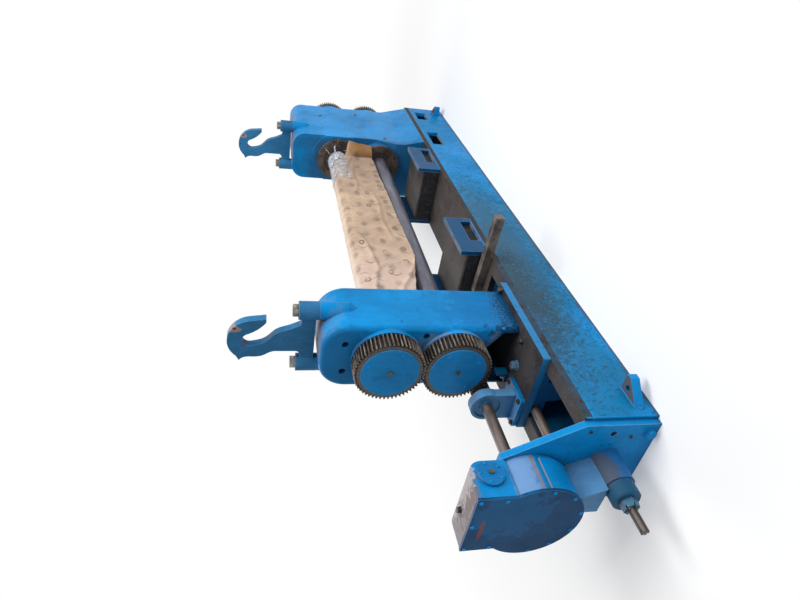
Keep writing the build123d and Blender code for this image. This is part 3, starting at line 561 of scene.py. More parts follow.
@dataclass(frozen=True)
class Enamel(Finish):
    """Brushed enamel over steel, with rubbed edges, chips, oil and dust."""

    colour: Colour = AZURE
    edge_colour: Colour = WORN_AZURE
    edge: float = 0.55
    edge_radius: float = 0.004
    dust: float = 0.55
    dust_colour: Colour = DUST
    cover: float = 0.4
    oil: float = 0.25
    chips: float = 0.2
    gloss: float = 0.32
    grime: float = 0.35
    grime_colour: Colour = tone(24, 84, 122)

    def dress(self, graph: Graph, shader: bpy.types.Node) -> None:
        """Joins the finish's nodes to its shader.

        Args:
            graph: The tree that takes the nodes.
            shader: The shader that they end in.
        """
        brush = SHELF.use(graph, Effect.BRUSH)
        edges = SHELF.use(graph, Effect.EDGES, Radius=self.edge_radius, Amount=self.edge)
        dust = SHELF.mask(graph, Effect.DUST, Amount=self.dust, Cover=self.cover)
        oil = SHELF.mask(graph, Effect.OIL, Amount=self.oil)
        nicks = SHELF.mask(graph, Effect.NICKS, Amount=self.chips)
        point = graph.place()
        grimy = graph.ramp(graph.grain(point, 2.2, 9.0, 0.7), 0.44, 0.70) * self.grime
        strokes = graph.ramp(brush["Shade"], 0.3, 0.72)
        colour = graph.layers(
            graph.blend(strokes, toned(self.colour, 0.70), toned(self.colour, 1.16, 0.002)),
            (grimy, self.grime_colour),
            (nicks * 0.85, PRIMER),
            (edges["Edge"], self.edge_colour),
            (oil * 0.7, OIL),
            # crevices darkened by ambient occlusion: grime and painted shade
            (edges["Crevice Grime and Shade"] * 0.6, OIL),
            (dust, self.dust_colour),
        )
        rough = graph.lerp(graph.grain(point, 14.0, 5.0), self.gloss - 0.08, self.gloss + 0.16)
        rough = graph.lerp(graph.most(dust, grimy), rough, 0.8)
        graph.fill(
            shader,
            Base_Color=self.stained(graph, colour),
            Roughness=graph.lerp(nicks * 0.8, rough, 0.7),
            Normal=graph.bump(brush["Height"] - nicks * 1.5 + dust * 0.5, 0.28, 0.0012),
            Specular_IOR_Level=0.09,
            Coat_Weight=0.01,
            Coat_Roughness=0.16,
        )


@dataclass(frozen=True)
class TurnedSteel(Finish):
    """A turned bar with rings, brown oil and rust freckles; threaded over part of it if asked."""

    colour: Colour = tone(104, 97, 92)
    dark: Colour = tone(48, 43, 41)
    metal: float = 0.6
    roughness: float = 0.38
    dust: float = 0.2
    pitch: float = 0.0
    thread_from: float = 0.0
    thread_to: float = 0.0
    runout: float = 0.002
    axis_height: float = 0.0

    def thread(self, graph: Graph) -> Wire:
        """Gives the height of a screw thread between two places along X.

        Args:
            graph: The tree that takes the nodes.

        Returns:
            The height from -1 to 1.
        """
        along, across, up = graph.parts(graph.place())
        turn = graph.math("ARCTAN2", up - self.axis_height, across)
        wave = graph.math("SINE", along * (tau / self.pitch) + turn)
        start = graph.ramp(along, self.thread_from, self.thread_from + self.runout)
        return start * wave * graph.fade(along, self.thread_to, self.thread_to + self.runout)

    def dress(self, graph: Graph, shader: bpy.types.Node) -> None:
        """Joins the finish's nodes to its shader.

        Args:
            graph: The tree that takes the nodes.
            shader: The shader that they end in.
        """
        rings = SHELF.use(graph, Effect.LATHE)
        oil = SHELF.mask(graph, Effect.OIL, Amount=0.45, Scale=11.0)
        dust = SHELF.mask(graph, Effect.DUST, Amount=self.dust)
        freckle = graph.ramp(graph.grain(graph.place(), 130.0, 5.0, 0.7), 0.66, 0.72)
        colour = graph.layers(
            graph.blend(graph.ramp(rings["Shade"], 0.25, 0.75), self.dark, self.colour),
            (freckle * 0.5, RUST),
            (oil * 0.6, OIL),
            (dust, DUST),
        )
        height = rings["Height"]
        if self.pitch:
            groove = self.thread(graph)
            colour = graph.blend(graph.ramp(groove, -0.2, -0.8), colour, OIL)
            height = groove * 3.0 + height
        rough = graph.lerp(rings["Shade"], self.roughness - 0.08, self.roughness + 0.2)
        graph.fill(
            shader,
            Base_Color=self.stained(graph, colour),
            Metallic=graph.lerp(dust, self.metal, 0.1),
            Roughness=graph.lerp(oil, rough, 0.3),
            Normal=graph.bump(height, 0.3, 0.0006),
        )


@dataclass(frozen=True)
class GearTeeth(Finish):
    """Cut teeth: black grease in the roots, brown flanks and rubbed tan tips."""

    axis: Flat = (0.0, 0.0)
    root: float = 0.15
    tip: float = 0.165

    def zone(self, graph: Graph, inner: float, outer: float) -> Wire:
        """Gives 0 at an inner radius of the gear and 1 at an outer one."""
        axis = {"Axis_Y": self.axis[0], "Axis_Z": self.axis[1]}
        return SHELF.mask(graph, Effect.RADIUS, **axis, Inner=inner, Outer=outer)

    def dress(self, graph: Graph, shader: bpy.types.Node) -> None:
        """Joins the finish's nodes to its shader.

        Args:
            graph: The tree that takes the nodes.
            shader: The shader that they end in.
        """
        depth = self.zone(graph, self.root - 0.001, self.tip)
        edges = SHELF.use(graph, Effect.EDGES, Radius=0.0022, Breakup=90.0, Amount=0.9)
        oil = SHELF.mask(graph, Effect.OIL, Amount=0.5, Scale=16.0)
        smear = graph.streaks(graph.place(), (14.0, 120.0, 120.0), 4.0, 0.6)
        web = graph.blend(graph.ramp(smear, 0.3, 0.7), tone(58, 52, 50), tone(98, 91, 86))
        flank = graph.blend(graph.ramp(smear, 0.35, 0.7), tone(66, 57, 52), tone(150, 138, 128))
        teeth = graph.blend(graph.ramp(depth, 0.3, 0.8), OIL, flank)
        outside_web = self.zone(graph, self.root - 0.004, self.root)
        colour = graph.layers(web, (outside_web, teeth), (edges["Edge"], TAN), (oil * 0.55, OIL))
        graph.fill(
            shader,
            Base_Color=self.stained(graph, colour),
            Metallic=graph.lerp(depth, 0.35, 0.7),
            Roughness=graph.lerp(smear, 0.34, 0.62),
            Normal=graph.bump(smear, 0.3, 0.0008),
        )


@dataclass(frozen=True)
class GreasyPlate(Finish):
    """A flat plate under old grease, dust and grit, with scuffed bright edges."""

    colour: Colour = tone(58, 50, 48)
    scuff: Colour = tone(104, 94, 88)
    dust: float = 0.5
    edge: float = 0.6
    side: Colour = tone(34, 104, 156)
    sides: float = 0.0
    bare: float = 0.40

    def dress(self, graph: Graph, shader: bpy.types.Node) -> None:
        """Joins the finish's nodes to its shader.

        Args:
            graph: The tree that takes the nodes.
            shader: The shader that they end in.
        """
        point = graph.place()
        edges = SHELF.use(graph, Effect.EDGES, Radius=0.005, Amount=self.edge)
        dust = SHELF.mask(graph, Effect.DUST, Amount=self.dust, Scale=6.0)
        cloud = graph.grain(point, 9.0, 7.0, 0.66)
        upright = graph.fade(graph.facing_up(), 0.3, 0.6)
        paint = graph.ramp(graph.grain(point, 30.0, 6.0, 0.7), self.bare, self.bare + 0.12)
        grit = graph.ramp(graph.grain(point, 210.0, 3.0, 0.6), 0.62, 0.70)
        colour = graph.layers(
            graph.blend(graph.ramp(cloud, 0.36, 0.62), self.colour, self.scuff),
            (paint * (upright * self.sides), self.side),
            (grit * 0.5, TAN),
            (dust, tone(92, 84, 80)),
            (edges["Edge"] * 0.8, self.scuff),
            # crevices darkened by ambient occlusion: grime and painted shade
            (edges["Crevice Grime and Shade"] * 0.7, OIL),
        )
        graph.fill(
            shader,
            Base_Color=self.stained(graph, colour),
            Roughness=graph.lerp(cloud, 0.42, 0.86),
            Normal=graph.bump(cloud + grit * 0.4, 0.4, 0.0016),
            Metallic=0.1,
            Specular_IOR_Level=0.25,
        )


@dataclass(frozen=True)
class PlainMetal(Finish):
    """Small plated or oiled fasteners with rubbed edges and freckles."""

    slot: str = "bolt_steel"
    colour: Colour = tone(158, 156, 150)
    dark: Colour = tone(92, 90, 88)
    metal: float = 0.6
    roughness: float = 0.38

    def dress(self, graph: Graph, shader: bpy.types.Node) -> None:
        """Joins the finish's nodes to its shader.

        Args:
            graph: The tree that takes the nodes.
            shader: The shader that they end in.
        """
        edges = SHELF.use(graph, Effect.EDGES, Radius=0.0015, Breakup=150.0, Amount=0.8)
        cloud = graph.grain(graph.place(), 60.0, 6.0, 0.68)
        colour = graph.layers(
            graph.blend(graph.ramp(cloud, 0.38, 0.66), self.dark, self.colour),
            (edges["Edge"], BARE),
            # crevices darkened by ambient occlusion: grime and painted shade
            (edges["Crevice Grime and Shade"] * 0.7, OIL),
        )
        graph.fill(
            shader,
            Base_Color=self.stained(graph, colour),
            Roughness=graph.lerp(cloud, self.roughness, self.roughness + 0.25),
            Normal=graph.bump(cloud, 0.25, 0.0005),
            Metallic=self.metal,
        )


@dataclass(frozen=True)
class KraftPaper(Finish):
    """Tan wrapping paper with faint scattered marks, soft creases and a turned-out flap, with painted light and
    shade on it.
    """

    slot: str = "kraft_paper"
    colour: Colour = tone(176, 152, 130)
    inner: Colour = tone(176, 140, 92)
    ink: Colour = tone(70, 62, 66)
    flap: Flat = (1.0, 0.15)

    def cell_place(self, graph: Graph, flat: Wire, cell: Flat, shift: Point) -> tuple[Wire, Wire, Wire]:
        """Gives the place inside a mark's own cell of the sheet.

        Args:
            graph: The material's tree.
            flat: The place on the flat sheet.
            cell: The cell's length and height in metres.
            shift: How far this kind of mark is moved from the others.

        Returns:
            The places along and across from the mark's middle, and the cell's own chance.
        """
        along, across, _ = graph.parts(graph.vector("ADD", flat, shift))
        row = across / cell[1]
        level = graph.math("FLOOR", row)
        column = along / cell[0] + level * 0.41
        spot = graph.out("CombineXYZ", X=graph.math("FLOOR", column), Y=level, Z=shift[0])
        first, second, chance = graph.parts(graph.out("TexWhiteNoise", port="Color", Vector=spot))
        left = graph.math("FRACT", column) - graph.lerp(first, 0.36, 0.64)
        rise = graph.math("FRACT", row) - graph.lerp(second, 0.38, 0.62)
        return left * cell[0], rise * cell[1], chance

    @staticmethod
    def from_middle(graph: Graph, left: Wire, rise: Wire, flatten: float) -> Wire:
        """Gives the distance from a mark's middle, with its height weighed by flatten."""
        tall = rise * flatten
        return graph.math("SQRT", left * left + tall * tall)

    def smudges(self, graph: Graph, flat: Wire) -> Wire:
        """Gives the mask of the broken smudges.

        Args:
            graph: The tree that takes the nodes.
            flat: The place on the flat sheet.

        Returns:
            The mask.
        """
        left, rise, chance = self.cell_place(graph, flat, (0.138, 0.094), (0.0, 0.0, 0.0))
        blot = graph.fade(self.from_middle(graph, left, rise, 1.5), 0.012, 0.046)
        scrawl = graph.ramp(graph.streaks(flat, (150.0, 110.0, 1.0), 5.0, 0.72), 0.36, 0.60)
        return blot * scrawl * graph.lerp(chance, 0.5, 1.0)

    def hoops(self, graph: Graph, flat: Wire) -> Wire:
        """Gives the mask of the oval rings.

        Args:
            graph: The tree that takes the nodes.
            flat: The place on the flat sheet.

        Returns:
            The mask.
        """
        left, rise, chance = self.cell_place(graph, flat, (0.200, 0.120), (0.086, 0.031, 0.0))
        out = self.from_middle(graph, left, rise, 1.35)
        line = graph.fade(abs(out - 0.0175), 0.0024, 0.0062)
        heart = graph.fade(out, 0.003, 0.010) * 0.55
        return graph.most(line, heart) * graph.ramp(chance, 0.35, 0.55)

    def strokes(self, graph: Graph, flat: Wire) -> Wire:
        """Gives the mask of the long hooked strokes.

        Args:
            graph: The tree that takes the nodes.
            flat: The place on the flat sheet.

        Returns:
            The mask.
        """
        left, rise, chance = self.cell_place(graph, flat, (0.165, 0.124), (0.035, 0.058, 0.0))
        bow = graph.lerp(graph.ramp(chance, 0.45, 0.55), -15.0, 18.0)
        line = graph.fade(abs(left - rise * rise * bow), 0.0018, 0.0060)
        inside = graph.fade(abs(rise), 0.030, 0.046)
        return line * inside * graph.lerp(chance, 0.2, 0.85)

    def crown_bands(self, graph: Graph, flat: Wire) -> Wire:
        """Gives the mask of the bowed bands over the crown.

        Args:
            graph: The tree that takes the nodes.
            flat: The place on the flat sheet.

        Returns:
            The mask.
        """
        along, across, _ = graph.parts(flat)
        step = graph.math("FRACT", (along + across * across * 2.6) / 0.083)
        line = graph.fade(abs(step - 0.5), 0.015, 0.065)
        inside = graph.fade(abs(across), 0.060, 0.115)
        patchy = graph.ramp(graph.grain(flat, 13.0, 3.0, 0.6), 0.36, 0.56)
        return line * inside * (patchy * 0.8)

    def marks(self, graph: Graph, flat: Wire) -> Wire:
        """Gives the mask of all the marks on the flat sheet.

        Args:
            graph: The tree that takes the nodes.
            flat: The place on the flat sheet.

        Returns:
            The mask.
        """
        bend = graph.out("TexNoise", port="Color", Vector=flat, Scale=26.0, Detail=2.0)
        place = graph.vector("MULTIPLY_ADD", bend, (0.022, 0.018, 0.0), flat)
        first = graph.most(self.smudges(graph, place), self.hoops(graph, place))
        second = graph.most(self.strokes(graph, place), self.crown_bands(graph, place))
        return graph.most(first, second)

    def turned_flap(self, graph: Graph, flat: Wire, cloud: Wire) -> tuple[Wire, Wire]:
        """Gives where the flap is turned out, and its brown inner face with painted shade at its root and painted
        light towards its upper edge.

        Args:
            graph: The material's tree.
            flat: The place on the flat sheet.
            cloud: The paper's own unevenness.

        Returns:
            The flap's mask and its colour.
        """
        along, across, _ = graph.parts(flat)
        start, rim = self.flap
        turned = graph.ramp(along, start, start + 0.006) * graph.ramp(across, -rim, -rim - 0.006)
        brown = graph.layers(
            # the darker brown at the flap's root is painted shade
            graph.blend(graph.ramp(along, start, start + 0.045), tone(84, 58, 40), tone(150, 112, 70)),
            # the paler brown towards the flap's upper edge is painted light
            (graph.ramp(across, -rim - 0.075, -rim) * 0.6, tone(182, 150, 118)),
            (graph.ramp(cloud, 0.38, 0.62) * 0.4, tone(110, 80, 50)),
        )
        return turned, brown

    def dress(self, graph: Graph, shader: bpy.types.Node) -> None:
        """Joins the finish's nodes to its shader.

        Args:
            graph: The tree that takes the nodes.
            shader: The shader that they end in.
        """
        flat = graph.out("UVMap", options={"uv_map": "cut"})
        along, across, _ = graph.parts(flat)
        fibre = graph.streaks(flat, (400.0, 90.0, 1.0), 4.0, 0.7)
        cloud = graph.grain(flat, 5.0, 6.0, 0.62)
        light = toned(self.colour, 1.16)
        faded = graph.ramp(graph.grain(flat, 11.0, 5.0, 0.6), 0.26, 0.50)
        back = graph.out("NewGeometry", port="Backfacing")
        cells = {"feature": "DISTANCE_TO_EDGE"}
        crease = graph.out("TexVoronoi", port="Distance", options=cells, Vector=flat, Scale=7.5, Randomness=1.0)
        fold = graph.fade(crease, 0.0, 0.045) * graph.ramp(cloud, 0.42, 0.62)
        colour = graph.layers(
            graph.blend(graph.ramp(cloud, 0.32, 0.68), toned(self.colour, 0.78), light),
            # painted light: lighter towards the near end
            (graph.ramp(along, -0.15, -0.80) * 0.5, tone(206, 184, 176)),
            # painted shade: darker towards the far end
            (graph.ramp(along, 0.10, 0.95) * 0.7, tone(138, 118, 104)),
            (fibre * 0.12, tone(150, 124, 104)),
            (self.marks(graph, flat) * (faded * 0.86) * (1.0 - back), self.ink),
            (fold * 0.3, light),
            # painted highlight along the crown
            (graph.fade(abs(across), 0.020, 0.060) * 0.45, tone(226, 208, 192)),
            self.turned_flap(graph, flat, cloud),
            (back, self.inner),
        )
        graph.fill(
            shader,
            Base_Color=self.stained(graph, colour),
            Roughness=graph.lerp(cloud, 0.5, 0.74),
            Normal=graph.bump(fold * 0.6 + cloud * 1.2 + fibre * 0.06, 0.5, 0.0035),
            Specular_IOR_Level=0.2,
        )


@dataclass(frozen=True)
class StretchFilm(Finish):
    """Milky stretch film with drawn streaks."""

    slot: str = "clear_film"
    colour: Colour = tone(222, 226, 232)
    thin: float = 0.55
    thick: float = 0.96

    def dress(self, graph: Graph, shader: bpy.types.Node) -> None:
        """Joins the finish's nodes to its shader.

        Args:
            graph: The tree that takes the nodes.
            shader: The shader that they end in.
        """
        point = graph.place()
        streak = graph.streaks(point, (120.0, 14.0, 14.0), 5.0, 0.65)
        crinkle = graph.grain(point, 38.0, 6.0, 0.7)
        graph.fill(
            shader,
            Base_Color=graph.blend(graph.ramp(streak, 0.35, 0.65), tone(150, 156, 166), self.colour),
            Alpha=graph.lerp(graph.ramp(streak, 0.38, 0.66), self.thin, self.thick),
            Roughness=graph.lerp(crinkle, 0.1, 0.4),
            Normal=graph.bump(streak + crinkle, 0.7, 0.004),
            Coat_Weight=0.5,
        )


@dataclass(frozen=True)
class PaleFloor(Finish):
    """Pale studio floor with the faintest unevenness, white to the camera far out."""

    colour: Colour = (0.92, 0.92, 0.92)
    near: float = 0.9
    far: float = 2.7
    least: float = 0.22

    def dress(self, graph: Graph, shader: bpy.types.Node) -> None:
        """Joins the finish's nodes to its shader.

        Args:
            graph: The tree that takes the nodes.
            shader: The shader that they end in.
        """
        cloud = graph.grain(graph.place(), 0.6, 3.0, 0.5)
        pale = graph.blend(cloud, toned(self.colour, 0.97), self.colour)
        graph.fill(shader, Base_Color=pale, Roughness=0.8, Specular_IOR_Level=0.1)
        away = graph.vector("LENGTH", graph.stretched(graph.place(), (0.55, 1.0, 1.0)))
        share = graph.lerp(graph.ramp(away, self.near, self.far), self.least, 1.0)
        glow = graph.out("Emission", Color=WHITE, Strength=1.0)
        seen = graph.seen_by("Is Camera Ray", "Is Glossy Ray")
        mixed = graph.out("MixShader", share * seen, Wire(graph, shader.outputs[0]), glow)
        graph.fill(graph.tree.nodes["Material Output"], Surface=mixed)


class Head(Enum):
    """The kinds of bolt and screw head."""

    HEX = "hex"
    DOME = "dome"
    SOCKET = "socket"
    SLOT = "slot"


def facing(point: Point | Vector, normal: Point | Vector, turn: float = 0.0) -> Matrix:
    """Gives the placing of a piece that stands on a surface.

    Args:
        point: Where it stands, in metres.
        normal: The surface's outward direction.
        turn: Its turn about that direction, in degrees.

    Returns:
        The placing, with the piece's own Z along the normal.
    """
    aim = Vector(normal).to_track_quat("Z", "Y").to_matrix().to_4x4()
    return Matrix.Translation(Vector(point)) @ aim @ Matrix.Rotation(radians(turn), 4, "Z")


def lathe(mesh: bmesh.types.BMesh, place: Matrix, outline: Sequence[Flat], sides: int) -> None:
    """Adds a turned form to a mesh.

    Args:
        mesh: The mesh that takes it.
        place: Its placing, with its axis along its own Z.
        outline: Radius and height of each ring; a radius of 0 closes an end.
        sides: How many sides each ring has.
    """
    rings = []
    for radius, height in outline:
        turns = [tau * step / sides for step in range(sides)] if radius else [0.0]
        rings.append([mesh.verts.new(place @ Vector((radius * cos(t), radius * sin(t), height))) for t in turns])
    for lower, upper in zip(rings, rings[1:]):
        for step in range(sides):
            pairs = ((lower, step), (lower, step + 1), (upper, step + 1), (upper, step))
            mesh.faces.new(list(dict.fromkeys(ring[index % len(ring)] for ring, index in pairs)))


def woven(mesh: bmesh.types.BMesh, grid: Sequence[Sequence[bmesh.types.BMVert]], closed: bool = False) -> None:
    """Adds the faces between neighbouring lines of points.

    Args:
        mesh: The mesh that takes them.
        grid: The lines of points.
        closed: Whether each line runs on into its own first point.
    """
    for first, second in zip(grid, grid[1:]):
        for index in range(len(first) - (0 if closed else 1)):
            after = (index + 1) % len(first)
            mesh.faces.new((first[index], second[index], second[after], first[after]))


def rumple(*place: float) -> float:
    """Gives smooth noise from about -1 to 1 at a place of three values."""
    return noise.noise(Vector(place))


@dataclass(frozen=True)
class Fastener:
    """A bolt or screw head, with a washer where washer is its radius."""

    head: Head
    radius: float
    height: float
    washer: float = 0.0
    washer_height: float = 0.0026
    sunk: float = -0.001

    def add(self, mesh: bmesh.types.BMesh, place: Matrix) -> None:
        """Adds the head to a mesh at its placing.

        Args:
            mesh: The mesh that takes it.
            place: Its placing.
        """
        if self.washer:
            w, top = self.washer, self.washer_height
            lathe(mesh, place, ((w, self.sunk), (w, top - 0.0006), (w - 0.001, top), (0, top)), 20)
            place = place @ Matrix.Translation((0, 0, top))
        r, h = self.radius, self.height
        foot = (r, self.sunk)
        if self.head is Head.HEX:
            lathe(mesh, place, (foot, (r, 0.84 * h), (0.88 * r, h), (0, h)), 6)
        elif self.head is Head.DOME:
            arc = [(r * cos(pi * step / 10), h * sin(pi * step / 10)) for step in range(5)]
            lathe(mesh, place, [foot, *arc, (0, h)], 16)
        elif self.head is Head.SOCKET:
            cup = (foot, (r, 0.86 * h), (0.88 * r, h), (0.52 * r, h), (0.50 * r, 0.5 * h), (0, 0.46 * h))
            lathe(mesh, place, cup, 18)
        else:
            lathe(mesh, place, (foot, (r, 0.6 * h), (0, 0.6 * h)), 20)
            self.cheeks(mesh, place)

    def cheeks(self, mesh: bmesh.types.BMesh, place: Matrix, steps: int = 9) -> None:
        """Adds the two halves of a slotted head above its disc.

        Args:
            mesh: The mesh that takes it.
            place: Its placing.
            steps: How many steps its arc has.
        """
        gap = 0.16 * self.radius
        for side in (-1, 1):
            turns = [pi * (step + 0.5) / steps for step in range(steps)]
            bow = [(side * self.radius * cos(t), side * (gap + (self.radius - gap) * sin(t))) for t in turns]
            low = [mesh.verts.new(place @ Vector((x, y, 0.55 * self.height))) for x, y in bow]
            top = [mesh.verts.new(place @ Vector((0.94 * x, 0.97 * y, self.height))) for x, y in bow]
            mesh.faces.new(top)
            for step in range(steps):
                after = (step + 1) % steps
                mesh.faces.new((low[step], low[after], top[after], top[step]))


def shown(
    mesh: bmesh.types.BMesh, name: str, finish: Finish, body: str = "frame", smooth: float = 35.0
) -> bpy.types.Object:
    """Turns a mesh into a piece that rides on a body.

    Args:
        mesh: The finished mesh, which is freed.
        name: The piece's name.
        finish: Its finish.
        body: The body it moves with.
        smooth: The angle in degrees up to which its faces are smoothed.

    Returns:
        The new object.
    """
    bmesh.ops.recalc_face_normals(mesh, faces=mesh.faces)
    for edge in mesh.edges:
        if len(edge.link_faces) == 2 and edge.calc_face_angle(0.0) > radians(smooth):
            edge.smooth = False
    return linked(mesh, name, finish, body)


def linked(mesh: bmesh.types.BMesh, name: str, finish: Finish, body: str) -> bpy.types.Object:
    """Puts a mesh in the scene as a piece of one finish on one body.

    Args:
        mesh: The finished mesh, which is freed.
        name: The piece's name.
        finish: Its finish.
        body: The body it moves with.

    Returns:
        The new object.
    """
    for face in mesh.faces:
        face.smooth = True
    data = bpy.data.meshes.new(name)
    mesh.to_mesh(data)
    mesh.free()
    data.materials.append(finish.material())
    piece = bpy.data.objects.new(name, data)
    bpy.context.scene.collection.objects.link(piece)
    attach(piece, body)
    log.info("piece %s: %d faces on %s", name, len(data.polygons), body)
    return piece


def bolted(name: str, kind: Fastener, places: Iterable[Matrix], finish: Finish, body: str = "frame") -> None:
    """Makes one piece of several like fasteners.

    Args:
        name: The piece's name.
        kind: The fastener that repeats.
        places: Where each one stands.
        finish: Their finish.
        body: The body they move with.
    """
    mesh = bmesh.new()
    for place in places:
        kind.add(mesh, place)
    shown(mesh, name, finish, body)


def circle_places(middle: Point, radius: float, count: int, normal: Point, start: float) -> list[Matrix]:
    """Gives placings evenly round a circle about an axis along X or Y.

    Args:
        middle: The circle's middle.
        radius: Its radius.
        count: How many places.
        normal: The direction the fasteners face, along X or Y.
        start: The first one's angle in degrees.

    Returns:
        The placings, each turned a little more than the last.
    """
    x, y, z = middle
    places = []
    for step in range(count):
        angle = radians(start) + tau * step / count
        level, rise = radius * cos(angle), z + radius * sin(angle)
        spot = (x, y + level, rise) if normal[0] else (x + level, y, rise)
        places.append(facing(spot, normal, 17.0 * step))
    return places


def weld(mesh: bmesh.types.BMesh, start: Point, end: Point, radius: float = 0.0035, pitch: float = 0.005) -> None:
    """Adds a rippled weld bead between two points.

    Args:
        mesh: The mesh that takes it.
        start: Where the bead begins.
        end: Where it ends.
        radius: Its mean radius.
        pitch: The length of a ripple.
    """
    run = Vector(end) - Vector(start)
    count = max(3, int(run.length / pitch))
    outline = [(0.0, 0.0)]
    for step in range(count + 1):
        height = run.length * step / count
        ripple = 0.16 * (step % 2) + 0.22 * noise.noise(Vector(start) * 7 + Vector((height * 60, 0, 0)))
        outline.append((radius * (1 + ripple), height))
    outline.append((0.0, run.length))
    lathe(mesh, facing(start, run), outline, 7)


PAINT = Enamel("azure_enamel", dust=0.6, oil=0.3)
FRESH_PAINT = Enamel("azure_enamel_bolts", edge_radius=0.0015, dust=0.3, oil=0.35, chips=0.5, gloss=0.42)
STEEL_BOLTS = PlainMetal("plated_bolts")
PALE_BOLTS = Enamel(
    "pale_painted_bolts", colour=tone(92, 132, 162), edge_radius=0.002, edge=0.9, oil=0.4, chips=0.8
)
OLIVE_BOLTS = PlainMetal("olive_plated_bolts", colour=tone(112, 112, 74), dark=tone(66, 66, 46), metal=0.5)
DARK_BOLTS = PlainMetal("oiled_bolts", slot="oily_steel", colour=tone(84, 76, 70), dark=tone(34, 30, 28))


@dataclass
class CrankEnd:
    """Fasteners of the worm case, its caps and the end plate."""

    edge: float = 0.015
    rim_inset: float = 0.014
    rim_angles: tuple[float, ...] = (188, 222, 256, 290, 324, 352)
    block_inset: Flat = (0.019, 0.045)
    block_rise: float = 0.09
    block_shares: tuple[Flat, ...] = ((0.0, 0.38), (0.0, 1.0), (0.5, 1.0), (1.0, 1.0), (1.0, 0.38))
    cap_depth: float = 0.006
    foot_bolt: Flat = (0.152, 0.036)
    screws: tuple[Flat, ...] = ((-0.131, 0.113), (-0.168, 0.305))
    oiler_shift: float = 0.06
    breather_shift: float = 0.02

    def build(self) -> None:
        """Makes the pieces."""
        self.cover_bolts()
        self.cap_bolts()
        self.plate_bolts()
        self.fittings()

    def cover_bolts(self) -> None:
        """Makes the bolts round the case cover's rim and its square upper block."""
        low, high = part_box("case_cover")
        half = (high.y - low.y) / 2
        middle, axis, ring = low.y + half, low.z + half, half - self.rim_inset
        spots = [(middle + ring * cos(radians(a)), axis + ring * sin(radians(a))) for a in self.rim_angles]
        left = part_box("worm_cap")[0].y + self.block_inset[0] + self.edge
        right, top = high.y - self.edge - self.block_inset[1], high.z - self.edge
        bottom = axis + self.block_rise
        spots += [(left + y * (right - left), bottom + z * (top - bottom)) for y, z in self.block_shares]
        places = [facing((low.x, y, z), TOWARDS_CRANK, 11 * i) for i, (y, z) in enumerate(spots)]
        bolted("case_cover_bolts", Fastener(Head.DOME, 0.0085, 0.006), places, FRESH_PAINT)

    def cap_bolts(self) -> None:
        """Makes the worm cap's ring of bolts and its plug."""
        low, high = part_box("worm_cap")
        x, z = (low.x + high.x) / 2, (low.z + high.z) / 2
        ring = circle_places((x, low.y + self.cap_depth, z), 0.043, 5, TOWARDS_OPERATOR, 18)
        bolted("worm_cap_bolts", Fastener(Head.DOME, 0.0065, 0.005), ring, FRESH_PAINT)
        plug = facing((x, low.y, z), TOWARDS_OPERATOR)
        bolted("worm_cap_plug", Fastener(Head.HEX, 0.0105, 0.004), [plug], OLIVE_BOLTS)

    def plate_bolts(self) -> None:
        """Makes the end plate's foot bolts and its two small screws."""
        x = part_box("end_plate")[0].x
        y, z = self.foot_bolt
        feet = [facing((x, side * y, z), TOWARDS_CRANK, 8 * side) for side in (-1, 1)]
        bolted("end_plate_bolts", Fastener(Head.HEX, 0.023, 0.017, 0.028), feet, FRESH_PAINT)
        small = [facing((x, *spot), TOWARDS_CRANK) for spot in self.screws]
        bolted("end_plate_screws", Fastener(Head.SOCKET, 0.008, 0.004), small, DARK_BOLTS)

    def fittings(self) -> None:
        """Makes the oiler on the crank boss and the case's breather."""
        low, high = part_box("crank_boss")
        nipple = facing(((low.x + high.x) / 2 + self.oiler_shift, 0.0, high.z), UP)
        bolted("crank_oiler", Fastener(Head.DOME, 0.007, 0.012, 0.009), [nipple], OLIVE_BOLTS)
        low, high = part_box("gear_case")
        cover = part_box("case_cover")
        y = (cover[0].y + cover[1].y) / 2 + self.breather_shift
        breather = facing(((low.x + high.x) / 2, y, high.z), UP)
        bolted("case_breather", Fastener(Head.HEX, 0.013, 0.014, 0.015), [breather], DARK_BOLTS)


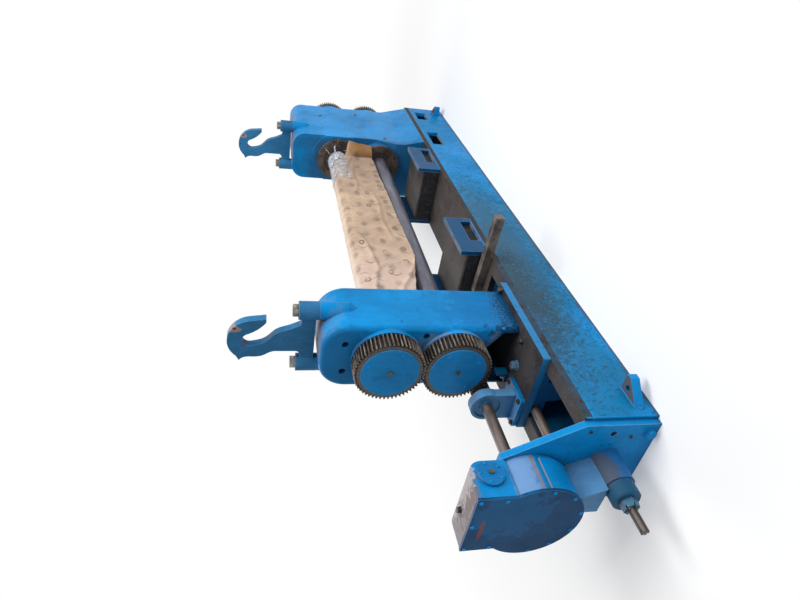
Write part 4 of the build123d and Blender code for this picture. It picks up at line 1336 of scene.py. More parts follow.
@dataclass
class Carriage:
    """Bolts and bracket on the slide plate and pads."""

    plate_bolts: tuple[Flat, ...] = (
        *((0.182, -0.015), (0.206, -0.148)),
        *((0.545, -0.196), (0.545, 0.196), (0.206, 0.188)),
    )
    housing_plugs: tuple[Flat, ...] = ((-1.206, 0.931), (-1.259, 0.449))
    pad_inset: float = 0.018
    bracket_corner: Flat = (0.225, 0.078)
    bracket_length: float = 0.046
    bracket_profile: tuple[Flat, ...] = (
        *((0, 0), (0.058, 0), (0.058, 0.012)),
        *((0.016, 0.014), (0.014, 0.060), (0, 0.060)),
    )

    def build(self) -> None:
        """Makes the pieces."""
        body = "carriage"
        low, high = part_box("slide_plate")
        spots = enumerate(self.plate_bolts)
        places = [facing((low.x + x, y, high.z), UP, 13 * i) for i, (x, y) in spots]
        bolted("slide_plate_bolt", Fastener(Head.HEX, 0.021, 0.026, 0.026), places[:1], PALE_BOLTS, body)
        bolted("slide_plate_bolts", Fastener(Head.HEX, 0.017, 0.016, 0.022), places[1:], DARK_BOLTS, body)
        plugs = [facing((x, -HOUSING_HALF, z), TOWARDS_OPERATOR) for x, z in self.housing_plugs]
        bolted("housing_plugs", Fastener(Head.DOME, 0.009, 0.006), plugs, FRESH_PAINT, body)
        corner = Vector((low.x + self.bracket_corner[0], self.bracket_corner[1], high.z))
        low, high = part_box("pillow_pad")
        inset = self.pad_inset
        spots = [(x, y) for x in (low.x + inset, high.x - inset) for y in (low.y + inset, high.y - inset)]
        places = [facing((x, y, high.z), UP, 20) for x, y in spots]
        bolted("pillow_pad_screws", Fastener(Head.SOCKET, 0.011, 0.010), places, DARK_BOLTS, body)
        self.bracket(corner)

    def bracket(self, corner: Vector) -> None:
        """Makes the small stop bracket and its bolt.

        Args:
            corner: The bracket's low corner on the plate.
        """
        mesh = bmesh.new()
        near, far = [
            [mesh.verts.new(corner + Vector((x, y, z))) for y, z in self.bracket_profile]
            for x in (0.0, self.bracket_length)
        ]
        mesh.faces.new(near)
        mesh.faces.new(list(reversed(far)))
        for step in range(len(near)):
            after = (step + 1) % len(near)
            mesh.faces.new((near[after], near[step], far[step], far[after]))
        bmesh.ops.bevel(mesh, geom=list(mesh.edges), offset=0.0015, segments=2, affect="EDGES")
        shown(mesh, "stop_bracket", PAINT, "carriage")
        spot = facing(corner + Vector((self.bracket_length / 2, 0.036, 0.0125)), UP)
        bolted("stop_bracket_bolt", Fastener(Head.HEX, 0.012, 0.012, 0.015), [spot], STEEL_BOLTS, "carriage")


@dataclass
class Adjusters:
    """Fasteners that turn with the ring gears and sleeves."""

    tilts: tuple[tuple[str, float], ...] = (("upper", 22.0), ("lower", 58.0))
    cap_ring: float = 0.108
    flange_ring: float = 0.130

    def build(self) -> None:
        """Makes the pieces of both adjusters."""
        for place, tilt in self.tilts:
            low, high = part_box(f"{place}_gear_cap")
            cap = (low.x, (low.y + high.y) / 2, (low.z + high.z) / 2)
            flange = (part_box(f"{place}_sleeve")[1].x, cap[1], cap[2])
            screws = circle_places(cap, self.cap_ring, 4, TOWARDS_CRANK, tilt)
            bolts = circle_places(flange, self.flange_ring, 8, TOWARDS_DRIVE, 22.5)
            for name, kind, places, finish in (
                ("cap_bolt", Fastener(Head.SLOT, 0.011, 0.009), [facing(cap, TOWARDS_CRANK, tilt)], OLIVE_BOLTS),
                ("cap_screws", Fastener(Head.DOME, 0.0085, 0.0045), screws, FRESH_PAINT),
                ("flange_bolts", Fastener(Head.HEX, 0.011, 0.009), bolts, STEEL_BOLTS),
            ):
                bolted(f"{place}_{name}", kind, places, finish, f"{place}_adjuster")


@dataclass
class DriveHead:
    """Bolts, plugs and screws on the drive housing."""

    flange_ring: float = 0.132
    flange_thick: float = 0.024
    side_ring: float = 0.082
    side_depth: float = 0.016
    left_plugs: tuple[Flat, ...] = ((-0.30, 1.10), (-0.22, 0.875))
    right_plugs: tuple[Flat, ...] = ((-0.30, 1.10), (-0.20, 0.80))
    low_plugs: tuple[Point, ...] = ((0.07, 0.76, 1), (0.10, 0.62, -1))

    def build(self) -> None:
        """Makes the pieces."""
        low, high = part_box("inner_bearing_flanges")
        places = []
        for x, arbor in ((low.x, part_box("lower_arbor")), (high.x - self.flange_thick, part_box("upper_arbor"))):
            height = (arbor[0].z + arbor[1].z) / 2
            places += circle_places((x, 0.0, height), self.flange_ring, 8, TOWARDS_CRANK, 11)
        bolted("inner_flange_bolts", Fastener(Head.SOCKET, 0.010, 0.008), places, DARK_BOLTS)
        low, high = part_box("side_bearing_cap")
        x, z = (low.x + high.x) / 2, (low.z + high.z) / 2
        ring = circle_places((x, low.y + self.side_depth, z), self.side_ring, 6, AWAY_FROM_OPERATOR, 30)
        bolted("side_cap_bolts", Fastener(Head.HEX, 0.010, 0.009), ring, FRESH_PAINT)
        cap = facing((x, high.y, z), AWAY_FROM_OPERATOR, 15)
        bolted("side_cap_plug", Fastener(Head.HEX, 0.013, 0.010), [cap], STEEL_BOLTS)
        self.plugs()

    def plugs(self) -> None:
        """Makes the oil plugs and the breather."""
        low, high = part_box("drive_housing")
        left, right = [(low.x + x, z, side) for x, z, side in self.low_plugs]
        spots = [(high.x + x, z, 1) for x, z in self.left_plugs] + [left]
        spots += [(high.x + x, z, -1) for x, z in self.right_plugs] + [right]
        places = [facing((x, side * HOUSING_HALF, z), (0, side, 0), 25) for x, z, side in spots]
        bolted("oil_plugs", Fastener(Head.HEX, 0.010, 0.008, 0.013), places, STEEL_BOLTS)
        top = facing((high.x - 0.16, 0.0, high.z - 0.0015), UP)
        bolted("drive_breather", Fastener(Head.DOME, 0.022, 0.020, 0.028), [top], FRESH_PAINT)


@dataclass
class Welds:
    """Weld beads where the bed's plates meet."""

    upright: Flat = (0.012, 0.325)
    lug_inset: float = 0.042
    lug_length: float = 0.118
    lug_heights: Flat = (0.090, 0.048)
    pad_length: float = 0.390
    pad_inset: float = 0.01
    pad_height: float = 0.3305

    def build(self) -> None:
        """Makes the beads as one piece."""
        mesh = bmesh.new()
        for wall, side in (("right_wall", -1), ("left_wall", 1)):
            low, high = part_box(wall)
            face = low.y if side < 0 else high.y
            x, y = low.x + 0.001, face - side * 0.002
            weld(mesh, (x, y, self.upright[0]), (x, y, self.upright[1]))
            for end in (-1, 1):
                tip, y = end * (high.x - self.lug_inset), face + side * 0.001
                for z in self.lug_heights:
                    weld(mesh, (tip - end * self.lug_length, y, z), (tip, y, z))
        plates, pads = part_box("window_plates"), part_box("cross_pads")
        starts = (pads[0].x, pads[1].x - self.pad_length)
        for start in starts:
            first, last = start + self.pad_inset, start + self.pad_length - self.pad_inset
            for y in (plates[0].y - 0.0005, plates[1].y + 0.0005):
                weld(mesh, (first, y, self.pad_height), (last, y, self.pad_height), 0.0032)
        shown(mesh, "bed_welds", FRESH_PAINT, smooth=80.0)


@dataclass(frozen=True)
class Fold:
    """A raised fold in the paper, along a line of places (x, across)."""

    height: float
    spread: float
    line: tuple[Flat, ...]

    def rise(self, x: float, across: float) -> float:
        """Gives how far the fold lifts the paper at a place.

        Args:
            x: The place along the arbor.
            across: The place along the cut, from the top, signed.

        Returns:
            The lift in metres.
        """
        best, where = 9.0, 0.0
        spot = Vector((x, across))
        for index, (first, second) in enumerate(zip(self.line, self.line[1:])):
            start, run = Vector(first), Vector(second) - Vector(first)
            share = max(0.0, min(1.0, (spot - start).dot(run) / run.length_squared))
            away = (spot - start - share * run).length
            if away < best:
                best, where = away, (index + share) / (len(self.line) - 1)
        if best > 3 * self.spread:
            return 0.0
        return self.height * exp(-((best / self.spread) ** 2)) * min(1.0, 0.3 + 5 * where, 6 * (1 - where))


FOLDS = (
    Fold(
        0.0100,
        0.013,
        (
            *((-0.88, -0.112), (-0.78, -0.121), (-0.68, -0.138), (-0.61, -0.160), (-0.47, -0.146)),
            *((-0.33, -0.126), (-0.24, -0.100), (-0.19, -0.070), (-0.17, -0.040)),
        ),
    ),
    Fold(
        0.0110,
        0.014,
        ((-0.90, -0.235), (-0.78, -0.269), (-0.71, -0.308), (-0.61, -0.353), (-0.52, -0.391), (-0.46, -0.408)),
    ),
    Fold(0.0085, 0.011, ((-0.16, -0.060), (0.12, -0.066), (0.45, -0.058), (0.70, -0.064), (0.90, -0.070))),
    Fold(0.0060, 0.012, ((-0.60, -0.165), (-0.55, -0.215), (-0.545, -0.270), (-0.50, -0.330))),
    Fold(0.0090, 0.012, ((0.62, -0.110), (0.80, -0.135), (0.93, -0.185), (0.97, -0.260))),
    Fold(0.0075, 0.014, ((0.30, -0.150), (0.48, -0.175), (0.66, -0.165), (0.86, -0.195))),
    Fold(0.0070, 0.013, ((-0.30, -0.300), (-0.05, -0.270), (0.20, -0.285), (0.42, -0.255))),
)
TRIMS = (
    *((-0.95, 0.060), (-0.78, 0.030), (-0.62, 0.0), (-0.45, -0.03)),
    *((-0.08, -0.016), (0.54, 0.002), (0.97, 0.018), (1.05, 0.046)),
)


@dataclass
class PaperSheet:
    """The wrapping paper hung over the upper arbor."""

    radius: float = 0.0675
    step: float = 0.0065
    over_film: float = 0.056
    flap_length: float = 0.062
    flap_fall: float = 0.046
    longest: float = 0.03
    folds: tuple[Fold, ...] = FOLDS
    trims: tuple[Flat, ...] = TRIMS

    def __post_init__(self) -> None:
        """Reads where the paper hangs."""
        low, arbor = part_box("paper_wrap")[0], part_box("upper_arbor")
        self.start, self.end = low.x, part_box("film_wrap")[0].x + self.over_film
        self.axis_z = (arbor[0].z + arbor[1].z) / 2
        self.quarter = self.radius * pi / 2
        self.hang = self.axis_z - low.z

    def lift(self, x: float, across: float, fall: float) -> float:
        """Gives how far the paper stands off, in metres.

        Args:
            x: The place along the arbor.
            across: The place along the cut, from the top, signed.
            fall: How far below the arbor's middle it hangs, 0 on the arbor.

        Returns:
            The distance outward.
        """
        side = 1.0 if across > 0 else -1.0
        low = fall / self.hang
        wide = rumple(x * 2.1, side * 3.7, low * 0.6)
        narrow = rumple(x * 7.3 + 9, side * 5.1, low * 1.3)
        ridge = 1 - abs(rumple(x * 5.0 + fall * 6.0, across * 6.0, 2.0)) * 2.4
        crumple = rumple(x * 17.0, across * 15.0, 4.0)
        stand = 0.0018 + 0.0065 * low * (wide + 0.35) + 0.003 * low * narrow
        stand += 0.0026 * max(0.0, ridge - 0.4) + 0.0018 * (crumple + 0.4)
        stand += sum(fold.rise(x, across) for fold in self.folds)
        nearness = max(0.0, 1 - (self.end - x) / self.flap_length)
        drop = max(0.0, min(1.0, (fall - self.flap_fall) / 0.014))
        reach = 0.112 - 0.16 * max(0.0, fall - self.flap_fall) if across < 0 else 0.022
        return max(0.0006, min(stand, 0.022)) + reach * nearness**1.15 * drop

    def build(self) -> None:
        """Makes the sheet."""
        mesh = bmesh.new()
        cut = mesh.loops.layers.uv.new("cut")
        length = self.end - self.start
        reach = self.quarter + self.hang
        columns, rows = int(length / self.step), 2 * int(reach / self.step)
        area = 0.0
        grid, flats = [], {}
        for column in range(columns + 1):
            share = column / columns
            line = [self.flat_place(share, 2 * row / rows - 1) for row in range(rows + 1)]
            grid.append([mesh.verts.new(self.point(*flat)) for flat in line])
            flats.update(zip(grid[-1], line))
            area += (line[-1][1] - line[0][1]) * length / (columns + 1)
        woven(mesh, grid)
        for face in mesh.faces:
            for loop in face.loops:
                loop[cut].uv = flats[loop.vert]
        flap = (self.end - self.flap_length + 0.004, self.quarter + self.flap_fall + 0.006)
        sheet = linked(mesh, "paper_cover", KraftPaper("creased_kraft_paper", flap=flap), "frame")
        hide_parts("paper_wrap")

    def flat_place(self, share: float, part: float) -> Flat:
        """Gives a place of the flat cut, whose edges are ragged.

        Args:
            share: The share of its length from the crank end.
            part: The share of its reach from the top, -1 on the operator's side to 1.

        Returns:
            The places along the arbor and along the cut.
        """
        side = 1.0 if part > 0 else -1.0
        x = self.start + (self.end - self.start) * share
        ragged = 0.006 * rumple(share * 9.0, side, 0.3)
        ragged += 0.003 * rumple(share * 40.0, side, 0.9)
        across = part * (self.quarter + self.hang - 0.006 + ragged - self.shortening(x, side))
        x += 0.004 * rumple(across * 8, share * 2, 1.0) * (abs(share - 0.5) * 2) ** 8
        return x, across

    def shortening(self, x: float, side: float) -> float:
        """Gives how much shorter the paper hangs than its longest, in metres.

        Args:
            x: The place along the arbor.
            side: -1 on the operator's side, 1 on the other.

        Returns:
            The shortening.
        """
        if side > 0:
            near = max(0.0, 1 - (x - self.start) / 0.22)
            far = max(0.0, 1 - (self.end - x) / 0.13)
            return 0.018 * near + 0.055 * far**1.5
        for (first, less), (second, more) in zip(self.trims, self.trims[1:]):
            if x <= second:
                return less + (more - less) * max(0.0, (x - first) / (second - first))
        return self.trims[-1][1]

    def point(self, x: float, across: float, off: float = 0.0) -> Vector:
        """Gives where a place of the flat cut hangs, or a place off it outward.

        Args:
            x: The place along the arbor.
            across: The place along the cut, from the top, signed.
            off: How far outward it is, in metres.

        Returns:
            The point.
        """
        side = 1.0 if across > 0 else -1.0
        fall = max(0.0, abs(across) - self.quarter)
        out = self.radius + self.lift(x, across, fall) + off
        if fall == 0.0:
            turn = across / self.radius
            return Vector((x, out * sin(turn), self.axis_z + out * cos(turn)))
        return Vector((x, side * out, self.axis_z - fall))


@dataclass
class FilmWrap:
    """Stretch film wound round the far end of the upper arbor, with loose ends."""

    layers: int = 2
    rings: int = 16
    sides: int = 56
    cover_steps: int = 52
    cover_length: float = 0.440
    cover_back: float = 0.094
    clearance: float = 0.0022
    layer_gap: float = 0.0045
    strand_steps: int = 18
    strand_seat: float = 0.008
    scrap_steps: tuple[int, int] = (40, 9)
    scrap_seat: float = 0.0125
    strands: tuple[tuple[float, float, float, float], ...] = (
        (-42.0, 0.085, 0.006, 0.012),
        (-70.0, 0.120, 0.055, 0.015),
        (-92.0, 0.050, 0.110, 0.013),
    )
    film: StretchFilm = StretchFilm("stretch_film")

    def __post_init__(self) -> None:
        """Reads where the film is."""
        self.low, self.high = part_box("film_wrap")
        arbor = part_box("upper_arbor")
        self.axis_z = (arbor[0].z + arbor[1].z) / 2
        self.core = (arbor[1].y - arbor[0].y) / 2

    def build(self) -> None:
        """Makes the wound film and its loose ends."""
        self.winding()
        self.cover(PaperSheet())
        self.loose_end("film_scrap_long", self.low.x - 0.13, 0.165, 0.048, -0.6, 0.3)
        self.loose_end("film_scrap_short", self.low.x - 0.05, 0.10, 0.036, -1.4, 2.1)
        for index, (angle, reach, droop, width) in enumerate(self.strands):
            self.strand(f"film_strand_{index + 1}", radians(angle), reach, droop, width, 3.7 * index)

    def winding(self) -> None:
        """Makes the wound film."""
        mesh = bmesh.new()
        length = self.high.x - self.low.x
        tubes = []
        for layer in range(self.layers):
            tube = []
            for ring in range(self.rings + 1):
                share = ring / self.rings
                x = self.low.x + length * (0.03 + 0.94 * share)
                tube.append([])
                for side in range(self.sides):
                    angle = tau * side / self.sides
                    spin = angle + 2.2 * share + layer * 1.3
                    crease = abs(rumple(share * 3 + layer * 7, cos(spin) * 2.4, sin(spin) * 2.4))
                    wave = rumple(share * 9, cos(angle) * 3, sin(angle) * 3 + layer * 5)
                    out = self.core + self.clearance + self.layer_gap * layer + 0.009 * crease + 0.0022 * wave
                    tube[-1].append(mesh.verts.new((x, out * cos(angle), self.axis_z + out * sin(angle))))
            tubes.append(tube)
        for tube in tubes:
            woven(mesh, tube, closed=True)
        film = shown(mesh, "film_winding", self.film, smooth=180.0)
        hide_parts("film_wrap")

    def cover(self, paper: PaperSheet) -> None:
        """Makes the thin film over the paper's end.

        Args:
            paper: The paper it lies on.
        """
        mesh = bmesh.new()
        steps, end = self.cover_steps, paper.end + 0.004
        front = -(paper.quarter + paper.flap_fall)
        wide = self.cover_back - front
        area, grid = 0.0, []
        for row in range(steps + 1):
            across = front + wide * row / steps
            ragged = 0.075 * abs(rumple(across * 13.0, 2.0, 5.0)) + 0.02 * abs(rumple(across * 60.0, 7.0, 1.0))
            start = end - self.cover_length + 2.0 * ragged
            area += (end - start) * wide / (steps + 1)
            grid.append([])
            for column in range(steps + 1):
                x = start + (end - start) * column / steps
                crinkle = abs(rumple(x * 22.0, across * 30.0, 8.0))
                grid[-1].append(mesh.verts.new(paper.point(x, across, 0.0022 + 0.008 * crinkle)))
        woven(mesh, grid)
        film = shown(mesh, "film_cover", StretchFilm("thin_stretch_film", thin=0.12, thick=0.90), smooth=180.0)

    def strand(self, name: str, angle: float, reach: float, droop: float, width: float, seed: float) -> None:
        """Makes one narrow torn strand that sticks out of the winding.

        Args:
            name: The piece's name.
            angle: Where it leaves the winding, in radians from the top, negative to -Y.
            reach: How far out it goes.
            droop: How far its tip hangs.
            width: Its width.
            seed: What makes its curls its own.
        """
        mesh = bmesh.new()
        steps, rim = self.strand_steps, self.core + self.strand_seat
        middles, grid = [], []
        for step in range(steps + 1):
            share = step / steps
            out = rim + reach * share
            sway = Vector([rumple(share * 4.0, seed, axis) for axis in (1.0, 4.0, 8.0)]) * 0.026 * share
            height = self.axis_z + out * cos(angle) - droop * share**2
            middles.append(Vector((self.low.x + 0.075, out * sin(angle), height)) + sway)
            twist = seed + 2.6 * share
            across = Vector((cos(twist), sin(twist) * cos(angle), -sin(twist) * sin(angle)))
            edge = across * width * (0.5 - 0.34 * share)
            grid.append([mesh.verts.new(middles[-1] - edge), mesh.verts.new(middles[-1] + edge)])
        woven(mesh, grid)
        length = sum((second - first).length for first, second in zip(middles, middles[1:]))
        strip = shown(mesh, name, self.film, smooth=180.0)

    def loose_end(self, name: str, start: float, length: float, width: float, turn: float, seed: float) -> None:
        """Makes one loose strip that lies along the paper.

        Args:
            name: The piece's name.
            start: Where it starts along X.
            length: Its length.
            width: Its width round the arbor.
            turn: Its middle's angle from the top, in radians, negative to -Y.
            seed: What makes its creases its own.
        """
        mesh = bmesh.new()
        columns, rows = self.scrap_steps
        grid = []
        for column in range(columns + 1):
            share = column / columns
            taper = 0.35 + 0.65 * min(1.0, 2.2 * share)
            grid.append([])
            for row in range(rows + 1):
                part = row / rows - 0.5
                angle = turn + (part * width * taper) / 0.075 + 0.35 * (1 - share) * sin(seed)
                out = self.core + self.scrap_seat + 0.010 * abs(rumple(share * 5 + seed, part * 2.6, seed))
                spot = (start + length * share, out * sin(angle), self.axis_z + out * cos(angle))
                grid[-1].append(mesh.verts.new(spot))
        woven(mesh, grid)
        scrap = shown(mesh, name, self.film, smooth=180.0)


@dataclass
class PaintShop:
    """Gives the listed CAD nodes their finishes."""

    wall_half: float = 0.215
    module_root: float = 0.0072
    module_tip: float = 0.0055

    def wall(self) -> Enamel:
        """Gives the bed wall's paint, with grease under the slide plate.

        Returns:
            The finish.
        """
        low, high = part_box("slide_plate")
        x = (low.x + high.x) / 2
        teal = tone(22, 98, 128)
        rows = (
            (-1.55, 0.17, 0.42, 0.17, teal, 0.45, 0.30, 7.0),
            (x + 0.75, 0.17, 0.95, 0.22, teal, 0.55, 0.28, 5.0),
            (x + 0.60, 0.20, 0.90, 0.18, tone(16, 40, 52), 0.34, 1.1, 40.0),
            (x + 0.50, 0.23, 0.75, 0.14, tone(70, 78, 70), 0.35, 1.5, 110.0),
            (x + 0.16, 0.27, 0.50, 0.11, tone(46, 44, 34), 0.5, 1.4, 64.0),
            (x + 0.20, 0.335, 0.60, 0.030, OIL, 0.85, 0.9, 48.0),
            (0.0, 0.0, 3.0, 0.020, tone(70, 64, 62), 0.6, 0.6, 14.0),
        )
        marks = tuple(
            Stain((along, side, height), (long, 0.06, tall), *look)
            for side in (-self.wall_half, self.wall_half)
            for along, height, long, tall, *look in rows
        )
        look = {"oil": 0.20, "chips": 1.1, "edge": 0.8, "gloss": 0.34, "grime": 0.45, "cover": 0.7}
        return Enamel("azure_enamel_bed", marks, grime_colour=tone(16, 104, 142), **look)

    def cover_paint(self) -> Enamel:
        """Gives the case cover's dusky paint with its rust smear.

        Returns:
            The finish.
        """
        low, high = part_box("case_cover")
        smear = Stain((low.x, low.y + 0.22, high.z - 0.055), (0.05, 0.070, 0.010), RUST, 0.75, 0.45, 40.0)
        scrub = Stain((low.x, low.y + 0.12, high.z - 0.17), (0.05, 0.16, 0.15), tone(14, 92, 142), 0.5, 0.8, 12.0)
        colours = {"colour": TEAL_BLUE, "edge_colour": tone(86, 142, 180), "grime_colour": tone(4, 52, 88)}
        look = {"edge": 0.8, "oil": 0.15, "gloss": 0.44, "chips": 0.3, "grime": 0.5}
        return Enamel("dusky_cover_enamel", (scrub, smear), **colours, **look)

    def hook_paint(self) -> Enamel:
        """Gives the hooks' dull paint with metal rubbed bare in the crook.

        Returns:
            The finish.
        """
        marks = []
        for node in ("outboard_hook", "drive_hook"):
            low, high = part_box(node)
            x = (low.x + high.x) / 2
            rows = (
                (x - 0.019, -0.056, -0.034, (0.03, 0.020, 0.030), tone(150, 130, 118), 0.9, 0.25, 30.0),
                (x - 0.019, -0.060, -0.034, (0.03, 0.007, 0.010), tone(70, 44, 34), 0.9, 0.1, 60.0),
                (x + 0.019, -0.050, -0.015, (0.03, 0.040, 0.030), tone(150, 144, 140), 0.5, 0.5, 30.0),
                (x, 0.020, -0.075, (0.05, 0.030, 0.016), tone(74, 78, 84), 0.6, 0.5, 40.0),
            )
            marks += (Stain((along, side, high.z + rise), *look) for along, side, rise, *look in rows)
        look = {"oil": 0.22, "gloss": 0.44, "edge": 0.8, "chips": 0.35}
        return Enamel("dull_hook_enamel", tuple(marks), colour=DUSK_BLUE, **look)

    def housing_paint(self) -> Enamel:
        """Gives the outboard housing's paint, oily at its feet, dusty on its shoulders, darker towards the bottom
        of its sides with grime and painted shade, and hazy on its crank-end face with dust and painted reflection.

        Returns:
            The finish.
        """
        low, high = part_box("outboard_housing")
        x = (low.x + high.x) / 2
        marks = [Stain((x, 0.0, high.z), (0.13, 0.14, 0.030), tone(104, 98, 100), 0.75, 0.5, 15.0)]
        for side in (low.y, high.y):
            marks += (
                # darker blue towards the bottom of each side: partly grime, partly painted shade
                Stain((x, side, low.z), (0.40, 0.05, 0.46), tone(0, 92, 150), 0.55, 0.5, 9.0),
                Stain((x, side, low.z), (0.30, 0.05, 0.085), OIL, 0.62, 1.2, 90.0),
                Stain((x, side * 0.75, high.z - 0.07), (0.14, 0.05, 0.05), tone(70, 124, 160), 0.5, 0.8, 18.0),
            )
        marks += (
            Stain((low.x + 0.02, 0.0, low.z + 0.06), (0.05, 0.30, 0.11), OIL, 0.6, 1.1, 30.0),
            # grey-blue haze on the crank-end face: partly dust, partly painted reflection
            Stain((low.x, 0.0, 0.72), (0.03, 0.20, 0.34), tone(96, 118, 146), 0.72, 0.5, 9.0),
            Stain((low.x + 0.01, 0.0, high.z - 0.10), (0.06, 0.22, 0.17), tone(22, 84, 132), 0.6, 0.4, 9.0),
        )
        look = {"edge": 0.7, "dust": 0.5, "oil": 0.18, "chips": 0.3, "gloss": 0.26}
        return Enamel("azure_housing_enamel", tuple(marks), **look)

    def drive_paint(self) -> Enamel:
        """Gives the drive housing's paint, darker towards the arbors with painted shade, and dusty on its ledge.

        Returns:
            The finish.
        """
        low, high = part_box("drive_housing")
        # painted shade on the face towards the arbors
        shade = Stain((low.x, 0.0, 0.85), (0.10, 0.40, 0.62), tone(38, 74, 110), 0.7, 0.22, 5.0)
        crown = Stain((high.x - 0.40, 0.0, high.z), (0.36, 0.15, 0.022), tone(112, 108, 112), 0.7, 0.6, 13.0)
        look = {"edge": 0.7, "dust": 0.8, "oil": 0.26, "chips": 0.25, "gloss": 0.27, "grime": 0.45}
        return Enamel("azure_drive_enamel", (shade, crown), **look)

    def bar_steel(self) -> GreasyPlate:
        """Gives the loose bar's bare steel, with black painted shade standing for a slot and a hole near its end.

        Returns:
            The finish.
        """
        low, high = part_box("cross_bar")
        # black painted shade where a slot and a hole would show
        slot = Stain((low.x + 0.045, low.y + 0.10, high.z), (0.007, 0.026, 0.012), OIL, 1.0, 0.02, 60.0)
        hole = Stain((low.x + 0.052, low.y + 0.045, high.z), (0.008, 0.008, 0.012), OIL, 1.0, 0.02, 60.0)
        colours = {"colour": tone(60, 55, 53), "scuff": tone(112, 104, 98)}
        return GreasyPlate("bare_bar_steel", (slot, hole), dust=0.2, **colours)

    def case_paint(self) -> Enamel:
        """Gives the gear case's dusty paint, with a painted highlight band across its curved side.

        Returns:
            The finish.
        """
        low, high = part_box("gear_case")
        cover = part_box("case_cover")
        x, side = (low.x + high.x) / 2, low.y + 0.06
        axis = low.z + (cover[1].y - cover[0].y) / 2
        highlight_and_dust = (
            # painted highlight band across the curved side
            Stain((x, side, axis + 0.055), (0.20, 0.080, 0.062), tone(120, 148, 188), 0.72, 0.3, 24.0),
            Stain((x, side - 0.02, axis + 0.008), (0.20, 0.080, 0.012), tone(126, 116, 118), 0.7, 0.4, 30.0),
            Stain((x - 0.02, 0.0, high.z), (0.09, 0.20, 0.020), tone(112, 94, 84), 0.6, 1.3, 34.0),
            Stain((x + 0.03, 0.02, high.z), (0.05, 0.20, 0.020), tone(186, 182, 184), 0.6, 1.3, 42.0),
        )
        look = {"dust": 0.95, "cover": 0.95, "oil": 0.15, "chips": 0.25, "gloss": 0.28}
        return Enamel("dusty_case_enamel", highlight_and_dust, dust_colour=tone(140, 131, 134), **look)

    def boss_paint(self) -> Enamel:
        """Gives the crank boss's paint, pale with dust above and dark at its end.

        Returns:
            The finish.
        """
        low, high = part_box("crank_boss")
        x = (low.x + high.x) / 2
        marks = (
            Stain((x, 0.0, high.z), (0.16, 0.095, 0.095), tone(72, 78, 88), 0.85, 0.3, 26.0),
            Stain((low.x + 0.02, 0.0, high.z - 0.06), (0.055, 0.12, 0.12), tone(26, 74, 102), 0.9, 0.35, 16.0),
        )
        return Enamel("dusty_boss_enamel", marks, dust=0.6, colour=tone(30, 104, 164), oil=0.4)

    def lug_paint(self) -> Enamel:
        """Gives the anchor lugs' paint under thick dust.

        Returns:
            The finish.
        """
        marks = tuple(
            Stain((x, y, 0.10), (0.13, 0.12, 0.06), tone(74, 76, 86), 0.75, 0.6, 20.0)
            for x in (-2.05, 2.05)
            for y in (-0.32, 0.32)
        )
        look = {"dust": 0.95, "cover": 1.0, "oil": 0.4, "edge": 0.8}
        return Enamel("azure_lug_enamel", marks, dust_colour=tone(82, 78, 80), **look)

    def screw_steel(self) -> TurnedSteel:
        """Gives the lead screw's steel with its thread.

        Returns:
            The finish.
        """
        low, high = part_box("lead_screw")
        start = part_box("end_plate")[1].x + 0.02
        axis = (low.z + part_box("crank_nut")[1].z) / 2
        ends = {"thread_from": start, "thread_to": high.x, "axis_height": axis}
        return TurnedSteel("threaded_screw_steel", pitch=0.008, **ends)

    def gear(self, node: str, radius: float = 0.159) -> GearTeeth:
        """Gives one gear's finish about its own axis.

        Args:
            node: The gear's node.
            radius: Its pitch radius in metres.

        Returns:
            The finish.
        """
        low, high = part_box(node)
        axis = ((low.y + high.y) / 2, (low.z + high.z) / 2)
        return GearTeeth(f"{node}_teeth", axis=axis, root=radius - self.module_root, tip=radius + self.module_tip)

    def bed_and_carriage(self) -> tuple[tuple[str, Finish], ...]:
        """Gives the finishes of the bed's and the carriage's nodes.

        Returns:
            Node names, with spaces between, each with its finish.
        """
        black = {"colour": tone(26, 27, 31), "scuff": tone(48, 48, 52), "sides": 1.0, "side": tone(34, 118, 172)}
        way = {"colour": tone(32, 31, 33), "scuff": tone(56, 54, 56), "sides": 0.5, "side": tone(26, 74, 104)}
        pad = {"colour": tone(30, 27, 29), "scuff": tone(54, 50, 51), "sides": 0.8, "side": tone(16, 26, 34)}
        window = {"edge": 1.0, "edge_radius": 0.006, "oil": 0.4, "dust": 0.75, "grime": 0.6}
        end = {"edge": 1.0, "edge_radius": 0.007, "oil": 0.3, "chips": 0.6, "gloss": 0.36, "grime": 0.6}
        sleeve = {"colour": tone(30, 100, 156), "oil": 0.55, "chips": 0.6, "edge_colour": BARE, "edge": 0.9}
        plate = GreasyPlate("greasy_black_plate", bare=0.30, dust=0.1, edge=0.9, **black)
        deck = GreasyPlate("dusty_brown_deck", colour=tone(30, 26, 26), scuff=tone(52, 46, 45), dust=0.2)
        block = Enamel("azure_block_enamel", dust=0.5, oil=0.25, chips=0.4, colour=tone(84, 140, 184))
        return (
            ("right_wall left_wall bed_ribs", self.wall()),
            ("bed_floor slide_plate slide_block", plate),
            ("ways", GreasyPlate("oiled_way_steel", dust=0.15, **way)),
            ("deck_plate", deck),
            ("cross_pads", GreasyPlate("dark_pad_plate", dust=0.25, **pad)),
            ("window_plates", Enamel("azure_window_enamel", colour=tone(16, 72, 114), **window)),
            ("anchor_lugs", self.lug_paint()),
            ("cross_bar", self.bar_steel()),
            ("end_plate", Enamel("azure_end_enamel", **end)),
            ("pillow_pad", Enamel("azure_pad_enamel", dust=0.7, oil=0.5, chips=0.5)),
            ("pillow_block", block),
            ("outboard_housing", self.housing_paint()),
            ("upper_sleeve lower_sleeve", Enamel("azure_sleeve_enamel", **sleeve)),
        )

